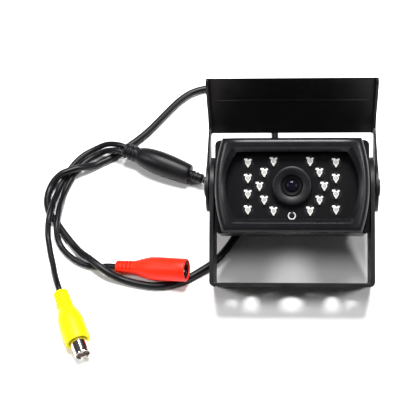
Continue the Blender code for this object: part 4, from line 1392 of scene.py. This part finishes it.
@dataclass
class CableBoot:
    """Tapered ribbed boot where the cable leaves the gland."""

    ribs: int = 4

    def build(self) -> None:
        """Makes the boot where the CAD one is."""
        low, high = in_head("strain_relief")
        length = (high.y - low.y) / MM
        rows = [(3.9, 0.0), (4.15, 0.2), (4.2, 0.9), (4.0, 1.2)]
        pitch = (length - 1.6) / self.ribs
        for i in range(self.ribs):
            wide = 3.95 - 1.35 * (i + 0.5) / self.ribs
            base = 1.2 + i * pitch
            rows += [
                (wide - 0.45, base + 0.12 * pitch), (wide - 0.5, base + 0.38 * pitch),
                (wide - 0.1, base + 0.5 * pitch),
            ]
            rows += [(wide, base + 0.62 * pitch), (wide - 0.06, base + 0.92 * pitch)]
        rows += [(2.45, length - 0.25), (2.3, length), (2.05, length)]
        boot = Bench.turned("cable_boot", in_metres(rows), 48)
        where = HEAD_FRAME @ Matrix.Translation((0.0, low.y, 0.0)) @ Matrix.Rotation(-pi / 2, 4, "X")
        Bench.placed(boot, where, SEAL_RUBBER, Body.HEAD, "rubber", ("strain_relief",), 50.0)


class CadDressing:
    """Finishes for the CAD nodes that stay, with small rounds on their edges."""

    finishes: dict[str, tuple[Finish, float]] = {
        "housing_shell": (HOUSING, 0.35),
        "rear_cover": (HOUSING, 0.35),
        "u_bracket": (PAINT, 0.30),
        "sun_visor": (PAINT, 0.22),
        "front_glass": (PANE, 0.0),
        "glass_gasket": (SEAL_RUBBER, 0.0),
        "rear_gasket": (SEAL_RUBBER, 0.0),
        "rear_cover_screw": (ZINC, 0.12),
        "led_board": (BOARD_BLACK, 0.0),
        "main_board": (BOARD_GREEN, 0.0),
        "lens_barrel": (OPTIC_BLACK, 0.1),
        "lens_holder": (OPTIC_BLACK, 0.1),
        "image_sensor": (OPTIC_BLACK, 0.1),
        "cable_gland": (SEAL_RUBBER, 0.2),
        "gland_lock_nut": (SEAL_RUBBER, 0.15),
        "pivot_bolt": (BLACK_OXIDE, 0.12),
        "pivot_washer": (NYLON, 0.0),
    }

    def build(self) -> None:
        """Gives every shown CAD node its finish."""
        for name, node in sorted(frame["nodes"].items()):
            if node.hide_render:
                continue
            key = next((k for k in self.finishes if name.startswith(k)), None)
            if key is None:
                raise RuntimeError(f"{name} has no finish")
            finish, edge = self.finishes[key]
            self.dress(node, finish, edge)
            LOG.info("%s: %s", name, finish.name)

    @staticmethod
    def dress(node: bpy.types.Object, finish: Finish, edge: float) -> None:
        """Finishes one node.

        Args:
            node: the CAD node.
            finish: its finish.
            edge: width of the round on its edges, in millimetres.
        """
        node.data.materials.clear()
        node.data.materials.append(finish.material())
        for face in node.data.polygons:
            face.use_smooth = True
        weld = node.modifiers.new("merge_corners", "WELD")
        weld.merge_threshold = 0.000002
        if edge:
            bevel = node.modifiers.new("edge_round", "BEVEL")
            bevel.width = edge * MM
            bevel.segments = 2
            bevel.limit_method = "ANGLE"
            bevel.angle_limit = radians(40.0)
            bevel.use_clamp_overlap = True
        split = node.modifiers.new("sharp_edges", "EDGE_SPLIT")
        split.split_angle = radians(38.0)
        level = node.modifiers.new("level_faces", "WEIGHTED_NORMAL")
        level.weight = 100
        level.keep_sharp = True


@dataclass(frozen=True)
class Softbox:
    """A square lamp that looks at a point."""

    name: str
    place: Point
    target: Point
    size: float
    power: float


@dataclass
class Studio:
    """White table, soft light and the camera."""

    softboxes: tuple[Softbox, ...] = (
        Softbox("key_softbox", (0.03, 0.36, 1.50), (0.0, 0.0, 0.0), size=0.60, power=52.0),
        Softbox("left_softbox", (-0.95, -0.28, 1.10), (-0.02, 0.0, 0.03), size=0.32, power=8.5),
        Softbox("right_softbox", (0.95, -0.28, 1.10), (0.0, 0.0, 0.03), size=0.32, power=8.5),
    )
    room_strength: float = 0.06
    table_side: float = 6.0
    table_gap: float = 0.0002
    camera_place: Vector = field(default_factory=lambda: Vector((0.1, -347.2, 563.3)) * MM)
    camera_tilt: float = radians(57.15)
    camera_yaw: float = radians(-4.16)
    focal_length: float = 113.91

    def build(self) -> None:
        """Makes the table, the lights, the surroundings and the camera."""
        self.table()
        for softbox in self.softboxes:
            self.light(softbox)
        self.surroundings()
        self.camera()

    def table(self) -> None:
        """A wide plain table top."""
        Bench.clear_selection()
        bpy.ops.mesh.primitive_grid_add(
            x_subdivisions=8, y_subdivisions=8, size=self.table_side, location=(0.0, 0.0, -self.table_gap)
        )
        top = bpy.context.object
        top.name = "table_top"
        bpy.ops.object.transform_apply(location=True, rotation=True, scale=True)
        top.data.materials.append(TABLE_TOP.material())

    def light(self, softbox: Softbox) -> None:
        """Hangs one softbox.

        Args:
            softbox: its name, place, target, side in metres and power in watts.
        """
        data = bpy.data.lights.new(softbox.name, "AREA")
        data.shape = "SQUARE"
        data.size = softbox.size
        data.energy = softbox.power
        lamp = bpy.data.objects.new(softbox.name, data)
        bpy.context.scene.collection.objects.link(lamp)
        lamp.location = softbox.place
        aim = Vector(softbox.target) - Vector(softbox.place)
        lamp.rotation_euler = aim.to_track_quat("-Z", "Y").to_euler()

    def surroundings(self) -> None:
        """A plain white world, kept dim."""
        world = bpy.data.worlds.new("studio_room")
        world.use_nodes = True
        background = world.node_tree.nodes["Background"]
        background.inputs["Color"].default_value = (1.0, 1.0, 1.0, 1.0)
        background.inputs["Strength"].default_value = self.room_strength
        bpy.context.scene.world = world

    def camera(self) -> None:
        """The camera, in front of the unit and above it."""
        data = bpy.data.cameras.new("camera")
        data.sensor_width = 36.0
        data.lens = self.focal_length
        data.clip_start = 0.01
        data.clip_end = 20.0
        camera = bpy.data.objects.new("camera", data)
        bpy.context.scene.collection.objects.link(camera)
        forward = Vector((0.0, cos(self.camera_tilt), -sin(self.camera_tilt)))
        right = Vector((1.0, 0.0, 0.0))
        up = right.cross(forward)
        looking = forward * cos(self.camera_yaw) + right * sin(self.camera_yaw)
        across = right * cos(self.camera_yaw) - forward * sin(self.camera_yaw)
        turn = Matrix((across, up, -looking)).transposed().to_4x4()
        camera.matrix_world = Matrix.Translation(self.camera_place + Vector((0.0, PIVOT.y, 0.0))) @ turn
        bpy.context.scene.camera = camera
        bpy.context.scene.view_settings.view_transform = "Standard"


MAIN_ROUTE: list[Point] = [
    (1.5, 35.6, 0.0), (5.1, 40.6, 0.0), (10.3, 43.9, 0.0), (16.4, 45.0, 0.0), (22.5, 43.7, 0.0),
    (27.7, 40.2, 0.0), (31.1, 35.0, 0.0), (32.2, 28.8, 0.0), (31.0, 22.6, 0.0), (27.6, 17.2, 0.0),
    (22.2, 12.8, 0.0), (15.0, 9.2, 0.0), (6.0, 6.2, 0.0), (-3.5, 4.1, 0.0), (-12.5, 2.3, 0.0),
    (-20.5, 0.1, 0.0), (-27.2, -4.6, 0.0),
    (-31.6, -11.4, 0.0), (-35.8, -18.0, 0.0), (-40.8, -23.6, 0.0), (-47.0, -28.3, 0.0),
    (-53.0, -32.2, 0.0),
    (-59.0, -34.9, 0.0), (-65.0, -36.5, 0.0), (-71.5, -36.6, 0.0), (-79.5, -35.2, 0.0),
    (-86.5, -33.3, 0.6),
    (-93.0, -31.0, 2.7), (-98.5, -27.4, 4.1), (-103.5, -23.2, 3.8), (-108.0, -19.0, 2.0),
    (-111.5, -15.0, 0.3),
    (-115.0, -10.8, 0.0), (-118.5, -6.3, 0.0), (-122.0, -1.5, 0.0), (-125.5, 3.0, 0.0),
    (-128.3, 7.8, 0.0),
    (-130.0, 13.0, 0.0), (-130.3, 18.0, 0.0), (-129.3, 22.8, 0.5), (-127.0, 26.6, 2.1),
    (-123.3, 29.6, 3.8),
    (-119.0, 31.6, 4.0), (-114.5, 33.4, 3.8), (-110.3, 35.3, 2.1), (-106.5, 37.5, 0.3),
    (-102.3, 40.0, 0.0),
    (-99.1, 41.9, 0.0), (-95.0, 45.3, 0.0), (-91.5, 48.2, 0.0), (-87.3, 51.8, 0.0), (-83.4, 55.4, 0.0),
    (-78.7, 60.5, 0.0), (-73.9, 66.7, 0.0), (-69.2, 73.0, 0.0), (-64.3, 79.3, 0.0), (-59.4, 84.4, 0.0),
    (-54.5, 87.6, 0.0), (-48.3, 89.5, 0.0), (-39.0, 89.6, 0.0), (-30.0, 87.0, 0.0), (-21.5, 81.5, 0.0),
    (-14.6, 74.0, 0.0), (-10.6, 65.6, 0.0), (-9.2, 57.0, 0.0), (-10.0, 48.6, 0.0), (-12.8, 40.6, 0.0),
    (-17.2, 33.4, 0.0), (-23.2, 27.6, 0.0), (-29.8, 24.4, 0.6), (-36.0, 23.2, 2.0),
]
VIDEO_ROUTE: list[Point] = [
    (-97.0, 48.1, 5.6), (-101.5, 49.3, 3.2), (-107.0, 48.5, 0.5), (-112.1, 45.6, 0.0),
    (-115.9, 41.8, 0.0),
    (-118.4, 38.2, 0.0), (-120.5, 34.3, 0.0), (-122.2, 30.1, 0.0), (-123.7, 25.8, 0.0),
    (-125.1, 21.4, 0.0),
    (-125.9, 17.1, 0.9), (-126.3, 12.8, 2.9), (-126.6, 8.4, 4.2), (-127.0, 4.1, 4.5), (-127.4, 0.4, 4.2),
    (-127.7, -3.2, 2.3), (-127.5, -7.4, 0.4), (-126.4, -12.4, 0.0), (-125.0, -17.9, 0.0),
    (-122.9, -25.0, 0.5),
    (-120.9, -32.0, 2.4),
]
POWER_ROUTE: list[Point] = [
    (-97.2, 44.1, 5.5), (-101.0, 45.1, 3.2), (-105.6, 44.3, 0.6), (-109.9, 42.0, 0.0),
    (-113.4, 38.6, 0.0),
    (-116.0, 34.7, 0.0), (-117.9, 30.6, 0.0), (-119.4, 26.8, 0.0), (-120.7, 23.0, 0.0),
    (-121.7, 19.0, 0.2),
    (-122.2, 14.2, 1.7), (-122.5, 8.7, 3.8), (-122.6, 4.0, 4.3), (-122.7, -1.0, 4.5),
    (-122.7, -5.2, 3.8),
    (-122.0, -9.0, 1.6), (-119.9, -13.4, 0.0), (-116.6, -17.4, 0.0), (-113.0, -20.6, 0.0),
    (-109.3, -23.0, 0.0),
    (-105.7, -24.5, 0.0), (-102.8, -25.1, 0.0), (-99.6, -25.4, 0.1),
]


@dataclass
class CableLay:
    """The three cords and what is on them."""

    main_diameter: float = 3.8
    lead_diameter: float = 3.1
    cord_gap: float = 0.6
    lead_offset: float = 1.8

    def gland_bend(self) -> list[Vector]:
        """The bend from the boot down to the table.

        Returns:
            Its points, in millimetres.
        """
        out = Vector((0.0, cos(LENS_ELEVATION), -sin(LENS_ELEVATION)))
        _, high = in_head("strain_relief")
        tip = (HEAD_FRAME @ Vector((0.0, high.y, 0.0))) / MM
        start = Vector((0.0, tip.y - PIVOT.y / MM, tip.z)) + self.cord_gap * out
        floor = self.main_diameter / 2
        radius = (start.z - floor) / (1 - cos(LENS_ELEVATION))
        turns = [LENS_ELEVATION * (1 - i / 4) for i in range(5)]
        return [
            Vector((0.0, start.y + radius * (sin(LENS_ELEVATION) - sin(a)), floor + radius * (1 - cos(a))))
            for a in turns
        ]

    def build(self) -> None:
        """Makes the splitter, the connectors and the cords."""
        splitter = Splitter()
        video, power = VideoConnector(), PowerConnector()
        along = (splitter.end - splitter.start).normalized()
        across = along.cross(Vector((0.0, 0.0, 1.0))).normalized()
        gap = self.cord_gap
        main = Cord(
            "main_cable",
            self.main_diameter,
            self.gland_bend(),
            MAIN_ROUTE,
            [splitter.end + along * 5.0, splitter.end + along * gap],
        )
        main.build("connector", [splitter.build()])
        for name, route, side, connector in (
            ("video_lead", VIDEO_ROUTE, -1, video),
            ("power_lead", POWER_ROUTE, 1, power),
        ):
            beside = splitter.start + across * (side * self.lead_offset)
            plug = (connector.tip - connector.tail).normalized()
            first = [beside - along * gap, beside - along * 4.0]
            last = [connector.tail - plug * 5.0, connector.tail - plug * gap]
            Cord(name, self.lead_diameter, first, route, last).build("plug", connector.build())


def main() -> None:
    logging.basicConfig(level=logging.INFO, format="%(name)s %(message)s")
    Studio().build()
    CableLay().build()
    CableBoot().build()
    Lens().build()
    LightSensor().build()
    InfraredLamps().build()
    Bezel().build()
    VisorCrease().build()
    CadDressing().build()
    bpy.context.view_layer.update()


if __name__ == "__main__":
    main()
